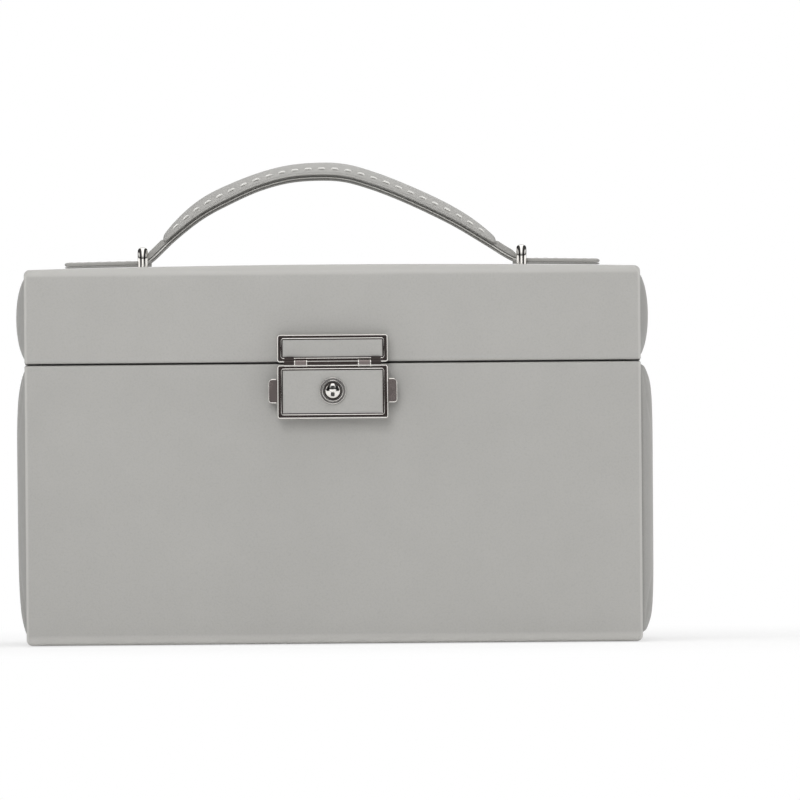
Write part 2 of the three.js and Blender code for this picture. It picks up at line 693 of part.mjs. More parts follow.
// flap: a frame with a leather recess in front and a pocket behind for the catches
const flap = () => {
  const knuckles = bothSides((s) => [
    cylX(KNUCKLE_R, s * 9.6, s * 13.7, HASP_AXIS),
    lockBox(s * 9.6, s * 13.7, 6.0, 4.9, 100.6, HASP_Z),
  ]);
  return cut(
    join(facePlate(FLAP, 1.2, 6.0, 2.6), ...knuckles),
    faceRecess(FLAP, 0, 7, 5.2),
    lockBox(-18.7, 18.7, 4.6, 2, 84.2, 100.0), // pocket
    midBox(-25, 25, 4.5, 3.1, 4.6), // side openings for the tabs
    lockDisc(3.5, 7, 3),
    haspBore(0.85),
    ...bothSides((s) => [lockBox(s * 13.9, s * 25, 8, 4.2, 101.0, 104)]), // room for the lugs
  );
};

const flapInlay = () =>
  cut(faceRecess(FLAP, INLAY_GAP, 5.8, 5.3), lockDisc(4.9, 7, 4));

const collar = () => cut(lockDisc(4.6, 6.8, 5.25, 24), lockDisc(3.45, 8, 4));

// plate across the back of the flap's pocket, with a window for each catch's hook
const backplate = () =>
  cut(
    lockBox(-18.4, 18.4, 3.05, 2.6, 84.5, 99.7),
    ...bothSides((s) => [midBox(s * 10.8, s * 16.6, 4, 2, 3.3)]),
  );

const catchPiece = (side) =>
  join(
    lockPlate(roundRect(side * 19, side * 23.4, LOCK_Z - 4.3, LOCK_Z + 4.3, 1.2), ...CATCH), // tab
    midBox(side * 5.2, side * 21, ...CATCH, 3.8), // slide
    lockBox(side * 12.2, side * 13.4, ...CATCH, LOCK_Z + 3.5, LOCK_Z + 6.6), // ear
    midBox(side * 13.0, side * 14.8, 3.4, 0.4, 2.6), // hook's shank
    midBox(side * 14.6, side * 16.1, 1.05, 0.4, 2.6), // hook's nose
  );

// fine coil along x, inboard of the catch's ear
const catchSpring = (side) => {
  const steps = 6 * 8; // six turns of eight steps
  const radius = 0.5;
  const points = Array.from({ length: steps + 1 }, (_, i) => {
    const angle = (i / 8) * 2 * Math.PI;
    return new THREE.Vector3(
      side * (6.2 + (5.6 * i) / steps),
      FRONT_Y - 3.85 + radius * Math.cos(angle),
      LOCK_Z + 5.5 + radius * Math.sin(angle),
    );
  });
  return new THREE.ExtrudeGeometry(shapeOf(arc(0, 0, 0.14, 0, 300, 5)), {
    steps,
    bevelEnabled: false,
    extrudePath: new THREE.CatmullRomCurve3(points),
  });
};

// round plug and rear stem, with a keyway split by a cross bar
const barrel = () =>
  cut(
    join(lockDisc(3.2, 7.6, 4.75), lockDisc(0.8, 5, 3.5, 12)),
    ...bothSides((s) => [lockBox(-0.75, 0.75, 8, 5.9, LOCK_Z + s * 0.55, LOCK_Z + s * 2.5)]),
  );

const cam = () =>
  cut(
    lockPlate(roundRect(-1.3, 1.3, LOCK_Z - 5.0, LOCK_Z + 5.0, 0.6), 4.3, 3.3),
    lockDisc(0.95, 6, 2, 12),
  );

add("lock_keeper", keeper(), FINISH.satinNickel);
add("lock_top_plate", topPlate(), FINISH.nickel);
add("lock_top_inlay", faceRecess(TOP_PLATE, INLAY_GAP, 4.4, 3.9), FINISH.leather);
add("hasp_pin", cylX(0.65, -17.8, 17.8, HASP_AXIS), FINISH.steel);
add("lock_flap", flap(), FINISH.nickel);
add("lock_flap_inlay", flapInlay(), FINISH.leather);
add("lock_collar", collar(), FINISH.brightNickel);
add("lock_backplate", backplate(), FINISH.dullSteel);
for (const [name, side] of SIDES) {
  add(`catch_${name}`, catchPiece(side), FINISH.brightSteel);
  add(`catch_spring_${name}`, catchSpring(side), FINISH.steel);
}
add("lock_barrel", barrel(), FINISH.brightNickel);
add("lock_cam", cam(), FINISH.steel);

export default group;
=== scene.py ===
"""A grey leather jewellery case: body, hinged lid with a padded handle, nickel lock and soft inside.

Sizes are in millimetres and MM turns them into metres. The case stands on z = 0 and is
centred on x = 0. -Y is the front, where the lock is, +Y the back with the hinges, -X the left.
"""
import json
import math

import bmesh
import bpy
import numpy as np
from mathutils import Matrix, Vector


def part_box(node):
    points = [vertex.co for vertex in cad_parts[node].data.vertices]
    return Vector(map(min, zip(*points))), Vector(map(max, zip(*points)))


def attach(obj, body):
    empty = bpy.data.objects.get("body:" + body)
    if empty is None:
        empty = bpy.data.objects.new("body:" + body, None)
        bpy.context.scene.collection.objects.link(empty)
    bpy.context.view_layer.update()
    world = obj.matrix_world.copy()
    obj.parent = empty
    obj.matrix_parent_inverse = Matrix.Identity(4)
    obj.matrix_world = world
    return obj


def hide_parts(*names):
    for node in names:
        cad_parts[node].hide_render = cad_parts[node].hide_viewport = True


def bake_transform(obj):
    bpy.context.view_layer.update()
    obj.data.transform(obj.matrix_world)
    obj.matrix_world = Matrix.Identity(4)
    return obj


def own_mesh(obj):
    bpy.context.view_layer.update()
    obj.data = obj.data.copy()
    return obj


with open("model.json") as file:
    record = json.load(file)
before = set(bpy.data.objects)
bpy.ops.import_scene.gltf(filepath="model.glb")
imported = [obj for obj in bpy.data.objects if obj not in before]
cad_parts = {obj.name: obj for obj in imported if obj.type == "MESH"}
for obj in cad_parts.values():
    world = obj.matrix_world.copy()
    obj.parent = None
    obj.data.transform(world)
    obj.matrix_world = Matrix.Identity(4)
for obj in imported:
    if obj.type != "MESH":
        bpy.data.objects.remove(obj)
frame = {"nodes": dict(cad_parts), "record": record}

SCENE = bpy.context.scene


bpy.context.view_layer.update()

# ------------------------------------------------------------------ driving dimensions
MM = 0.001
HALF_WIDTH = 112.5
FRONT_Y, BACK_Y = -73.4, 76.6
MID_Y = (FRONT_Y + BACK_Y) / 2
BODY_TOP = 102.2
LID_LOW = 102.9
LID_TOP = 137.2
SEAM_Z = (BODY_TOP + LID_LOW) / 2
CROWN = 1.2  # rise of the lid's top at x = 0
LOCK_Z = 92.3
LOOP_X = 69.5
STRAP_HALF = 7.0

SIDES = (("left", -1), ("right", 1))
X_AXIS = np.array([1.0, 0.0, 0.0])
Y_AXIS = np.array([0.0, 1.0, 0.0])


def crown(x):
    return CROWN * (1 - min(1.0, abs(x) / HALF_WIDTH) ** 2)


# ------------------------------------------------------------------ node builders
class Graph:
    """Adds shader nodes to a node tree and joins them."""

    def __init__(self, tree):
        self.tree = tree

    def feed(self, socket, value):
        """Sets a socket to a number, a vector or an RGB colour, or links another socket to it."""
        if isinstance(value, (int, float)):
            socket.default_value = value
        elif isinstance(value, tuple):
            socket.default_value = (*value, 1)[:len(socket.default_value)]
        else:
            self.tree.links.new(value, socket)

    def node(self, kind, inputs=(), **settings):
        node = self.tree.nodes.new("ShaderNode" + kind)
        for key, value in settings.items():
            setattr(node, key, value)
        for key, value in dict(inputs).items():
            self.feed(node.inputs[key], value)
        return node

    def ramp(self, value, stops):
        """stops: (position, RGB colour)"""
        node = self.node("ValToRGB", {"Fac": value})
        elements = node.color_ramp.elements
        while len(elements) < len(stops):
            elements.new(0.5)
        for element, (position, colour) in zip(elements, stops):
            element.position = position
            element.color = (*colour, 1)
        return node.outputs["Color"]

    def math(self, operation, *values):
        return self.node("Math", dict(enumerate(values)), operation=operation).outputs["Value"]

    def plus(self, first, second):
        return self.math("ADD", first, second)

    def times(self, value, factor):
        return self.math("MULTIPLY", value, factor)

    def mix(self, base, other, share, mode="MIX"):
        inputs = {0: share, 6: base, 7: other}
        return self.node("Mix", inputs, data_type="RGBA", blend_type=mode).outputs[2]

    def remap(self, value, to, source=(0.0, 1.0), **settings):
        """Maps the source range on to the range `to`."""
        inputs = {
            "From Min": source[0], "From Max": source[1],
            "To Min": to[0], "To Max": to[1], "Value": value,
        }
        return self.node("MapRange", inputs, **settings).outputs["Result"]


class Mat(Graph):
    """A material around one Principled shader, textured in object space (metres)."""

    def __init__(self, name):
        self.material = bpy.data.materials.new(name)
        self.material.use_nodes = True
        super().__init__(self.material.node_tree)
        self.shader = self.tree.nodes["Principled BSDF"]
        self.coords = self.node("TexCoord").outputs["Object"]

    def stretched(self, scale):
        return self.node("Mapping", {"Scale": scale, "Vector": self.coords}).outputs["Vector"]

    def noise(self, scale, detail=3.0, rough=0.55, coords=None):
        inputs = {
            "Scale": scale, "Detail": detail, "Roughness": rough,
            "Vector": coords or self.coords,
        }
        return self.node("TexNoise", inputs).outputs["Fac"]

    def voronoi(self, scale, feature="F1"):
        inputs = {"Scale": scale, "Vector": self.coords}
        return self.node("TexVoronoi", inputs, feature=feature).outputs["Distance"]

    def tone(self, value, colour, shades, span=(0.3, 0.7)):
        """The colour at two brightnesses, reached at the two values of span."""
        return self.ramp(value, [(at, shade(colour, by=k)) for at, k in zip(span, shades)])

    def darken(self, base, amount):
        grey = self.node("CombineColor", {0: amount, 1: amount, 2: amount}).outputs[0]
        return self.mix(base, grey, share=1.0, mode="MULTIPLY")

    def occlusion(self, reach, **settings):
        """Ambient occlusion within reach millimetres."""
        node = self.node("AmbientOcclusion", {"Distance": reach * MM}, samples=6, **settings)
        return node.outputs["AO"]

    def axes(self):
        return self.node("SeparateXYZ", {0: self.coords}).outputs

    def bump(self, height, depth):
        """depth in millimetres"""
        inputs = {"Distance": depth * MM, "Strength": 1.0, "Height": height}
        self.feed(self.shader.inputs["Normal"], self.node("Bump", inputs).outputs["Normal"])

    def finish(self, **values):
        for key, value in values.items():
            self.feed(self.shader.inputs[key.replace("_", " ")], value)
        return self.material


def srgb(red, green, blue):
    """Linear colour from sRGB values of 0 to 255."""
    return tuple(
        (c / 255 / 12.92) if c <= 10 else ((c / 255 + 0.055) / 1.055) ** 2.4
        for c in (red, green, blue)
    )


def shade(colour, by):
    return tuple(min(1.0, c * by) for c in colour)


# ------------------------------------------------------------------ materials
def leather(name, colour, cell=0.55, depth=0.022, rough=(0.5, 0.62), wear=0.0,
            crease_reach=0.0, edges=()):
    """Fine pebbled leather with slow colour drift, lighter worn edges and painted light.

    cell, depth and crease_reach are millimetres; crease_reach is the reach of painted shade in
    creases. edges: bands painted lighter, as painted highlights and as light painted over shade
    (axis, distance from the origin where the band starts, distance where it is full, brightness
    there).
    """
    m = Mat(name)
    warp = m.noise(scale=900.0, detail=2.0)
    cells = m.voronoi(scale=1000.0 / cell, feature="SMOOTH_F1")
    fine = m.noise(scale=1000.0 / (cell * 0.42), detail=2.0, rough=0.6)
    slow = m.noise(scale=11.0)
    mid = m.noise(scale=70.0, detail=4.0)
    base = m.tone(slow, colour, shades=(0.965, 1.03))
    base = m.mix(base, m.tone(mid, colour, shades=(0.96, 1.04)), share=0.35)
    base = m.darken(base, m.remap(cells, to=(1.0, 0.94), source=(0.35, 0.75)))
    # painted light: each band mixes in a lighter colour, a painted highlight on edges and crowns,
    # and light painted over the shade at the bottom
    for axis, start, full, brightness in edges:
        distance = m.math("ABSOLUTE", m.axes()[axis])
        painted_light_mask = m.remap(distance, to=(0.0, 1.0), source=(start * MM, full * MM))
        patchy = m.remap(m.noise(scale=120.0, detail=2.0), to=(0.7, 1.0))
        base = m.mix(base, shade(colour, by=brightness), share=m.times(painted_light_mask, patchy))
    # painted shade: ambient occlusion darkens the colour in creases and seams
    if crease_reach:
        open_air = m.occlusion(crease_reach)
        base = m.darken(base, m.remap(open_air, to=(0.45, 1.0), source=(0.35, 0.9)))
    if wear:
        pointiness = m.node("NewGeometry").outputs["Pointiness"]
        worn = m.remap(pointiness, to=(0.0, 1.0), source=(0.52, 0.60))
        patchy = m.remap(m.noise(scale=160.0), to=(0.2, 1.0), source=(0.35, 0.65))
        worn = m.times(m.times(worn, patchy), factor=wear)
        base = m.mix(base, shade(colour, by=1.22), share=worn)
    height = m.plus(m.times(cells, factor=-0.8), m.times(fine, factor=0.45))
    m.bump(m.plus(height, m.times(warp, factor=0.15)), depth=depth)
    return m.finish(
        Base_Color=base,
        Roughness=m.remap(m.noise(scale=240.0, detail=2.0), to=rough, source=(0.3, 0.7)),
        Specular_IOR_Level=0.42,
        Sheen_Weight=0.06,
        Sheen_Roughness=0.5,
    )


def velvet(name, colour):
    """Short pile: dense fine fibres, a nap that shades in slow patches, strong sheen."""
    m = Mat(name)
    nap = m.noise(scale=45.0, rough=0.6)
    pile = m.noise(scale=5200.0, detail=2.0, rough=0.7)
    tuft = m.voronoi(scale=2600.0)
    base = m.tone(nap, colour, shades=(0.78, 1.25), span=(0.32, 0.68))
    fibres = m.tone(pile, colour, shades=(0.7, 1.3), span=(0.35, 0.65))
    m.bump(m.plus(pile, m.times(tuft, factor=0.6)), depth=0.09)
    return m.finish(
        Base_Color=m.mix(base, fibres, share=0.5), Roughness=0.96, Sheen_Weight=0.75,
        Sheen_Roughness=0.35, Sheen_Tint=shade(colour, by=2.2), Specular_IOR_Level=0.2,
    )


# painted shade: the lock plates take a darker colour above ZONE_Z and in front of ZONE_Y, where
# their parts sit in the dark hinge gap
ZONE_Z, ZONE_Y = 101.72, -78.02
ZONE_FADE = 0.05


def polished(name, colour, rough, gap_shade_colour=None):
    """Plated metal: faint haze, hairline marks, darker corners and, when given a colour for it,
    painted shade in the hinge gap.
    """
    m = Mat(name)
    haze = m.noise(scale=160.0)
    lines = m.noise(scale=900.0, detail=2.0, rough=0.5, coords=m.stretched((0.15, 1.0, 3.0)))
    open_air = m.remap(m.occlusion(0.7, only_local=True), to=(0.5, 1.0), source=(0.35, 0.95))
    base = m.darken(m.tone(haze, colour, shades=(0.95, 1.0)), open_air)
    # painted shade: the parts in the hinge gap are mixed towards the given dark colour
    if gap_shade_colour:
        axes = m.axes()
        above = m.remap(axes["Z"], to=(0.0, 1.0),
                        source=(ZONE_Z * MM, (ZONE_Z + ZONE_FADE) * MM))
        ahead = m.remap(axes["Y"], to=(1.0, 0.0),
                        source=((ZONE_Y - ZONE_FADE) * MM, ZONE_Y * MM))
        base = m.mix(base, gap_shade_colour, share=m.times(above, ahead))
    m.bump(lines, depth=0.0012)
    roughness = m.remap(haze, to=(rough * 0.7, rough * 1.5), source=(0.3, 0.7))
    return m.finish(Base_Color=base, Metallic=1.0, Roughness=roughness)


def brushed(name, colour, rough=0.34):
    """Metal with a grain along x."""
    m = Mat(name)
    grain = m.noise(scale=700.0, rough=0.6, coords=m.stretched((0.06, 1.0, 1.0)))
    spots = m.noise(scale=60.0, detail=4.0)
    base = m.mix(m.tone(grain, colour, shades=(0.85, 1.08)),
                 m.tone(spots, colour, shades=(0.92, 1.0)), share=0.5)
    m.bump(grain, depth=0.006)
    roughness = m.remap(grain, to=(rough * 0.8, rough * 1.3))
    return m.finish(Base_Color=base, Metallic=1.0, Roughness=roughness)


def board(name, colour):
    """Fibrous board with flecks."""
    m = Mat(name)
    fibre = m.noise(scale=600.0, detail=4.0, rough=0.7, coords=m.stretched((0.3, 1.0, 1.0)))
    flecks = m.voronoi(scale=420.0)
    base = m.mix(m.tone(fibre, colour, shades=(0.8, 1.15)),
                 m.tone(flecks, colour, shades=(0.7, 1.0), span=(0.1, 0.5)), share=0.6)
    m.bump(fibre, depth=0.05)
    return m.finish(Base_Color=base, Roughness=0.92)


def silvered(name):
    """Mirror with a trace of haze."""
    m = Mat(name)
    haze = m.noise(scale=25.0)
    return m.finish(
        Base_Color=m.ramp(haze, [(0.3, (0.86, 0.88, 0.89)), (0.7, (0.90, 0.92, 0.93))]),
        Metallic=1.0, Roughness=m.remap(haze, to=(0.012, 0.03)),
    )


def thread(name, colour):
    """Sewing thread with a fine twist."""
    m = Mat(name)
    twist = m.noise(scale=3800.0, detail=2.0, rough=0.6)
    m.bump(twist, depth=0.05)
    return m.finish(Base_Color=m.tone(twist, colour, shades=(0.85, 1.1)),
                    Roughness=0.7, Sheen_Weight=0.3)


GREY = srgb(171.1, 169.9, 166.6)
# painted light: a painted highlight on the cover's rounded ends at |x| 111.4 to 111.9 mm, and the
# bottom 3.8 mm painted lighter to lift the shade there
M_COVER = leather("cover_leather", GREY, wear=0.25,
                  edges=(("X", 111.4, 111.9, 1.19), ("Z", 3.8, 0.4, 1.5)))
# painted light: the lid's leather is a lighter copy of the cover's, with painted highlights on its
# ends and along its top edge
M_LID = leather("lid_leather", shade(GREY, by=1.035), wear=0.25,
                edges=(("X", 111.4, 111.9, 1.16), ("Z", 134.4, 135.2, 1.10)))
# painted light: the side leather is a darker copy as painted shade on the sides, with painted shade
# in its creases and a painted highlight on the crown beyond |x| 114.4 mm
M_SIDE = leather("side_leather", shade(GREY, by=0.80), cell=0.6, depth=0.03, wear=0.1,
                 crease_reach=4.0, edges=(("X", 114.4, 116.4, 1.2),))
# painted shade: the strap leather is a slightly darker copy of the cover's against the light from
# above, and its creases get painted shade
M_STRAP = leather("strap_leather", shade(GREY, by=0.98), cell=0.5, depth=0.03, wear=0.3,
                  crease_reach=0.9)
M_LINING = leather("lining_leather", shade(GREY, by=0.80), cell=0.6, depth=0.02,
                   rough=(0.4, 0.5))
M_INLAY = leather("inlay_leather", shade(GREY, by=1.0), cell=0.5, depth=0.03)
M_EDGE = leather("edge_paint", shade(GREY, by=0.46), cell=0.9, depth=0.015, rough=(0.3, 0.42))
# the piping is painted far lighter than the leather: partly its own colour, partly a painted
# highlight that holds against the grip's shadow
M_LINE = leather("piping_painted_highlight", shade(GREY, by=1.7), cell=0.5, depth=0.02, rough=(0.3, 0.42))
M_VELVET = velvet("velvet", srgb(118, 116, 114))
M_ROLL = velvet("roll_velvet", srgb(132, 130, 127))
M_NICKEL = polished("nickel", (0.88, 0.855, 0.815), rough=0.07)
M_TAB = polished("tab_nickel", (0.17, 0.145, 0.14), rough=0.32)
# painted shade: near-black nickel that stands for the shade in the trims' grooves, the collar's
# lines, the screw slots, the hinge gap and round the lock's button
M_DARK = polished("near_black_painted_shade", (0.055, 0.045, 0.043), rough=0.3)
# painted shade: the plate and flap are darkened where they sit in the hinge gap
M_PLATE = polished("plate_nickel", (0.80, 0.79, 0.77), rough=0.1,
                   gap_shade_colour=(0.05, 0.042, 0.04))
M_FLAP = polished("flap_nickel", (0.80, 0.79, 0.77), rough=0.1,
                  gap_shade_colour=(0.2, 0.17, 0.165))
M_LEAF = polished("leaf_nickel", (0.60, 0.59, 0.58), rough=0.2)
M_SATIN = polished("satin_nickel", (0.46, 0.45, 0.44), rough=0.36)
M_STEEL = brushed("steel", (0.60, 0.60, 0.59))
M_BOARD = board("grey_board", srgb(150, 143, 130))
M_MIRROR = silvered("mirror")
M_THREAD = thread("thread", srgb(224, 223, 219))


# ------------------------------------------------------------------ making objects
def register(ob, body, replaces):
    if body:
        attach(ob, body)
    if replaces:
        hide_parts(*replaces)


def smooth_shade(ob, angle):
    """Smooth shading with edges sharper than angle degrees kept sharp; None leaves it flat."""
    if angle is None:
        return
    mesh = ob.data
    mesh.polygons.foreach_set("use_smooth", [True] * len(mesh.polygons))
    mesh.set_sharp_from_angle(angle=math.radians(angle))
    mesh.update()


def build(name, shape, mat, body=None, smooth=40, replaces=()):
    """An object from shape, a pair of vertices in millimetres and faces."""
    verts, faces = shape
    mesh = bpy.data.meshes.new(name)
    mesh.from_pydata([tuple(c * MM for c in v) for v in verts], [], faces)
    bm = bmesh.new()
    bm.from_mesh(mesh)
    bmesh.ops.remove_doubles(bm, verts=bm.verts, dist=1e-7)
    bmesh.ops.recalc_face_normals(bm, faces=bm.faces)
    bm.to_mesh(mesh)
    bm.free()
    ob = bpy.data.objects.new(name, mesh)
    SCENE.collection.objects.link(ob)
    mesh.materials.append(mat)
    smooth_shade(ob, smooth)
    register(ob, body, replaces)
    return ob


def read_points(mesh):
    flat = np.zeros(len(mesh.vertices) * 3)
    mesh.vertices.foreach_get("co", flat)
    return flat.reshape(-1, 3)


def write_points(mesh, points):
    mesh.vertices.foreach_set("co", points.ravel())
    mesh.update()


def box_mm(node):
    """x0, x1, y0, y1, z0, z1 of a CAD piece in millimetres"""
    low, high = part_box(node)
    return [c / MM for pair in zip(low, high) for c in pair]


# ------------------------------------------------------------------ shapes
def loft(rings, caps=True):
    """Quads between equal closed rings of points, with optional end caps."""
    n = len(rings[0])
    verts = [p for ring in rings for p in ring]
    faces = []
    for i in range(len(rings) - 1):
        for k in range(n):
            a, b = i * n + k, i * n + (k + 1) % n
            faces.append((a, b, b + n, a + n))
    if caps:
        last = (len(rings) - 1) * n
        faces.append(tuple(range(n))[::-1])
        faces.append(tuple(range(last, last + n)))
    return verts, faces


def arc(cx, cy, radius, start, end, steps):
    """Points on an arc, angles in degrees."""
    angles = [math.radians(start + (end - start) * i / steps) for i in range(steps + 1)]
    return [(cx + radius * math.cos(a), cy + radius * math.sin(a)) for a in angles]


def rounded_rect(x0, x1, y0, y1, r, steps):
    return (arc(x1 - r, y0 + r, r, -90, 0, steps) + arc(x1 - r, y1 - r, r, 0, 90, steps)
            + arc(x0 + r, y1 - r, r, 90, 180, steps) + arc(x0 + r, y0 + r, r, 180, 270, steps))


def rounded_slab(x_span, y_span, z_span, plan_radius, edge_radius, edge_steps):
    """Slab with rounded corners in plan and rounded edges below and above."""
    def ring(inset, z):
        (x0, x1), (y0, y1) = x_span, y_span
        outline = rounded_rect(x0 + inset, x1 - inset, y0 + inset, y1 - inset,
                               max(plan_radius - inset, 0.05), 4)
        return [(x, y, z) for x, y in outline]

    angles = [math.pi / 2 * i / edge_steps for i in range(edge_steps + 1)]
    rings = []
    for a in angles:
        rings.append(ring(edge_radius * (1 - math.sin(a)),
                          z_span[0] + edge_radius * (1 - math.cos(a))))
    for a in angles:
        rings.append(ring(edge_radius * (1 - math.cos(a)),
                          z_span[1] - edge_radius * (1 - math.sin(a))))
    return loft(rings)


def turned(inside):
    """Height of a quarter-round edge, 0 to 1; inside is the distance in, in edge radii."""
    return math.sqrt(max(0.0, 1 - (1 - min(inside, 1.0)) ** 2))


def grid_faces(columns, rows):
    """Faces of a grid of (columns + 1) by (rows + 1) points, and its rim as point indices."""
    w = columns + 1
    faces = []
    for a in range(rows):
        for b in range(columns):
            p = a * w + b
            faces.append((p, p + 1, p + w + 1, p + w))
    rim = list(range(w)) + [a * w + columns for a in range(1, rows + 1)]
    rim += [rows * w + b for b in range(columns - 1, -1, -1)]
    rim += [a * w for a in range(rows - 1, 0, -1)]
    return faces, rim


def pad_faces(columns, rows):
    """Faces of a closed pad: front grid points first, then as many for the back."""
    front, rim = grid_faces(columns, rows)
    back = (columns + 1) * (rows + 1)
    faces = []
    for face in front:
        faces.append(face)
        a, b, c, d = [back + i for i in face]
        faces.append((a, d, c, b))
    for k, a in enumerate(rim):
        b = rim[(k + 1) % len(rim)]
        faces.append((a, b, back + b, back + a))
    return faces


def catmull(points, count):
    """Evenly spread points on a centripetal Catmull-Rom curve through the given ones."""
    p = np.array(points, float)
    chord = np.linalg.norm(np.diff(p, axis=0), axis=1)
    knot = np.r_[0, np.cumsum(np.maximum(chord ** 0.5, 1e-9))]
    p = np.vstack([2 * p[0] - p[1], p, 2 * p[-1] - p[-2]])
    knot = np.r_[knot[0] - (knot[1] - knot[0]), knot, knot[-1] + (knot[-1] - knot[-2])]

    def between(first, second, i, j, t):
        return ((knot[j] - t) * first + (t - knot[i]) * second) / (knot[j] - knot[i])

    curve = []
    for i in range(1, len(p) - 2):
        for step in np.linspace(0, 1, 24, endpoint=False):
            t = knot[i] + step * (knot[i + 1] - knot[i])
            a1 = between(p[i - 1], p[i], i - 1, i, t)
            a2 = between(p[i], p[i + 1], i, i + 1, t)
            a3 = between(p[i + 1], p[i + 2], i + 1, i + 2, t)
            b1 = between(a1, a2, i - 1, i + 1, t)
            b2 = between(a2, a3, i, i + 2, t)
            curve.append(between(b1, b2, i, i + 1, t))
    curve.append(p[-2])
    curve = np.array(curve)
    length = np.r_[0, np.cumsum(np.linalg.norm(np.diff(curve, axis=0), axis=1))]
    wanted = np.linspace(0, length[-1], count)
    return np.stack([np.interp(wanted, length, column) for column in curve.T], 1)


def directions(path):
    tangents = np.gradient(path, axis=0)
    return tangents / np.linalg.norm(tangents, axis=1)[:, None]


def ellipse(centre, u, v, radii, sides):
    angles = [2 * math.pi * k / sides for k in range(sides)]
    return [tuple(centre + radii[0] * math.cos(a) * u + radii[1] * math.sin(a) * v)
            for a in angles]


def tube(path, across, radii, sides):
    """Elliptic tube; across(point, tangent) gives the unit direction of the first radius."""
    path = np.array(path, float)
    rings = []
    for point, tangent in zip(path, directions(path)):
        u = across(point, tangent)
        rings.append(ellipse(point, u, np.cross(tangent, u), radii, sides))
    return loft(rings)


def across_y(_, tangent):
    """For paths that lie in a plane of constant y."""
    return np.cross(tangent, Y_AXIS)


def stitches(name, path, normals, body, length, pitch, radius, lift):
    """A row of stitches along a path, each a short run of thread that dips in at both ends."""
    path = np.array(path, float)
    normals = np.array(normals, float)
    run = np.r_[0, np.cumsum(np.linalg.norm(np.diff(path, axis=0), axis=1))]

    def along(values, distance):
        return np.array([np.interp(distance, run, column) for column in values.T])

    count = int(run[-1] / pitch)
    verts, faces = [], []
    for c in range(count):
        start = (run[-1] - count * pitch) / 2 + c * pitch + (pitch - length) / 2
        points, ups = [], []
        for part in np.linspace(0, 1, 7):
            distance = start + part * length
            up = along(normals, distance)
            up /= np.linalg.norm(up)
            raised = 1 - (2 * part - 1) ** 4
            points.append(along(path, distance) + up * (lift * raised - 0.3 * (1 - raised)))
            ups.append(up)
        rings = []
        for i, tangent in enumerate(directions(np.array(points))):
            u = np.cross(tangent, ups[i])
            u /= np.linalg.norm(u)
            r = radius * (0.55 if i in (0, 6) else 1.0)
            rings.append(ellipse(points[i], u, ups[i], (r, r * 0.8), 8))
        more_verts, more_faces = loft(rings)
        first = len(verts)
        verts += more_verts
        faces += [tuple(first + i for i in face) for face in more_faces]
    return build(name, (verts, faces), M_THREAD, body, 80)


def lathe(name, profile, centre, mat, body, axis="-y", sides=40, smooth=35, closed=False):
    """Turns a profile of (radius, height) about an axis; closed joins its ends, without caps."""
    main = "xyz".index(axis[-1])
    sign = -1 if axis[0] == "-" else 1
    first, second = [i for i in range(3) if i != main]
    rings = []
    for radius, height in profile + profile[:1] if closed else profile:
        ring = []
        for k in range(sides):
            angle = 2 * math.pi * k / sides
            point = list(centre)
            point[first] += radius * math.cos(angle)
            point[second] += radius * math.sin(angle)
            point[main] += sign * height
            ring.append(tuple(point))
        rings.append(ring)
    shape = loft(rings, caps=not closed)
    return build(name, shape, mat, body, smooth)


def bead(radius, height, wire, flat=1.0):
    """Lathe profile of a ring of round wire, flattened along the axis."""
    angles = [2 * math.pi * k / 12 for k in range(12)]
    return [(radius + wire * math.cos(a), height + wire * flat * math.sin(a)) for a in angles]


# ------------------------------------------------------------------ soft pieces
CLOTH = {
    "quality": 6, "mass": 0.2, "tension_stiffness": 12.0, "compression_stiffness": 12.0,
    "shear_stiffness": 4, "bending_stiffness": 0.4, "air_damping": 4,
    "vertex_group_mass": "pin", "use_pressure": True, "uniform_pressure_force": 3.0,
}
CLOTH_FRAMES = 20


def settle(ob, pins, most):
    """Inflates a piece with a cloth simulation, keeping each point within most millimetres."""
    before = read_points(ob.data)
    group = ob.vertex_groups.new(name="pin")
    for i in pins:
        group.add([int(i)], 1.0, "REPLACE")
    cloth = ob.modifiers.new("soft", "CLOTH")
    for key, value in CLOTH.items():
        setattr(cloth.settings, key, value)
    cloth.settings.effector_weights.gravity = 0
    cloth.collision_settings.use_collision = False
    cloth.point_cache.frame_start = 1
    cloth.point_cache.frame_end = CLOTH_FRAMES
    for f in range(1, CLOTH_FRAMES + 1):
        SCENE.frame_set(f)
    after = read_points(ob.evaluated_get(bpy.context.evaluated_depsgraph_get()).data)
    ob.modifiers.remove(cloth)
    move = after - before
    size = np.linalg.norm(move, axis=1)
    limit = most * MM
    keep = np.where(size > limit, limit / np.maximum(size, 1e-12), 1.0)
    write_points(ob.data, before + move * keep[:, None])
    SCENE.frame_set(1)


def soften(ob, pins, most, low, high):
    """Settles a piece, holds it between two corners and subdivides it."""
    settle(ob, pins, most)
    points = read_points(ob.data)
    write_points(ob.data, np.clip(points, np.array(low) * MM, np.array(high) * MM))
    fine = ob.modifiers.new("fine", "SUBSURF")
    fine.levels = 1
    fine.render_levels = 1


# ------------------------------------------------------------------ covers of body and lid
COVER_CORNER = 3.0  # radius where the front and back faces meet the far face
RIM_RADIUS = 0.8
HEM_DEPTH = 4.1  # how far the cover turns in over the rim
COVER_THICK, HEM_THICK = 1.0, 0.6
FLANGE_THICK = 2.6  # at both ends, beside the side panels
END_RADIUS, END_RADIUS_FAR = 1.1, 2.1  # rounding at the ends: front and back, far face


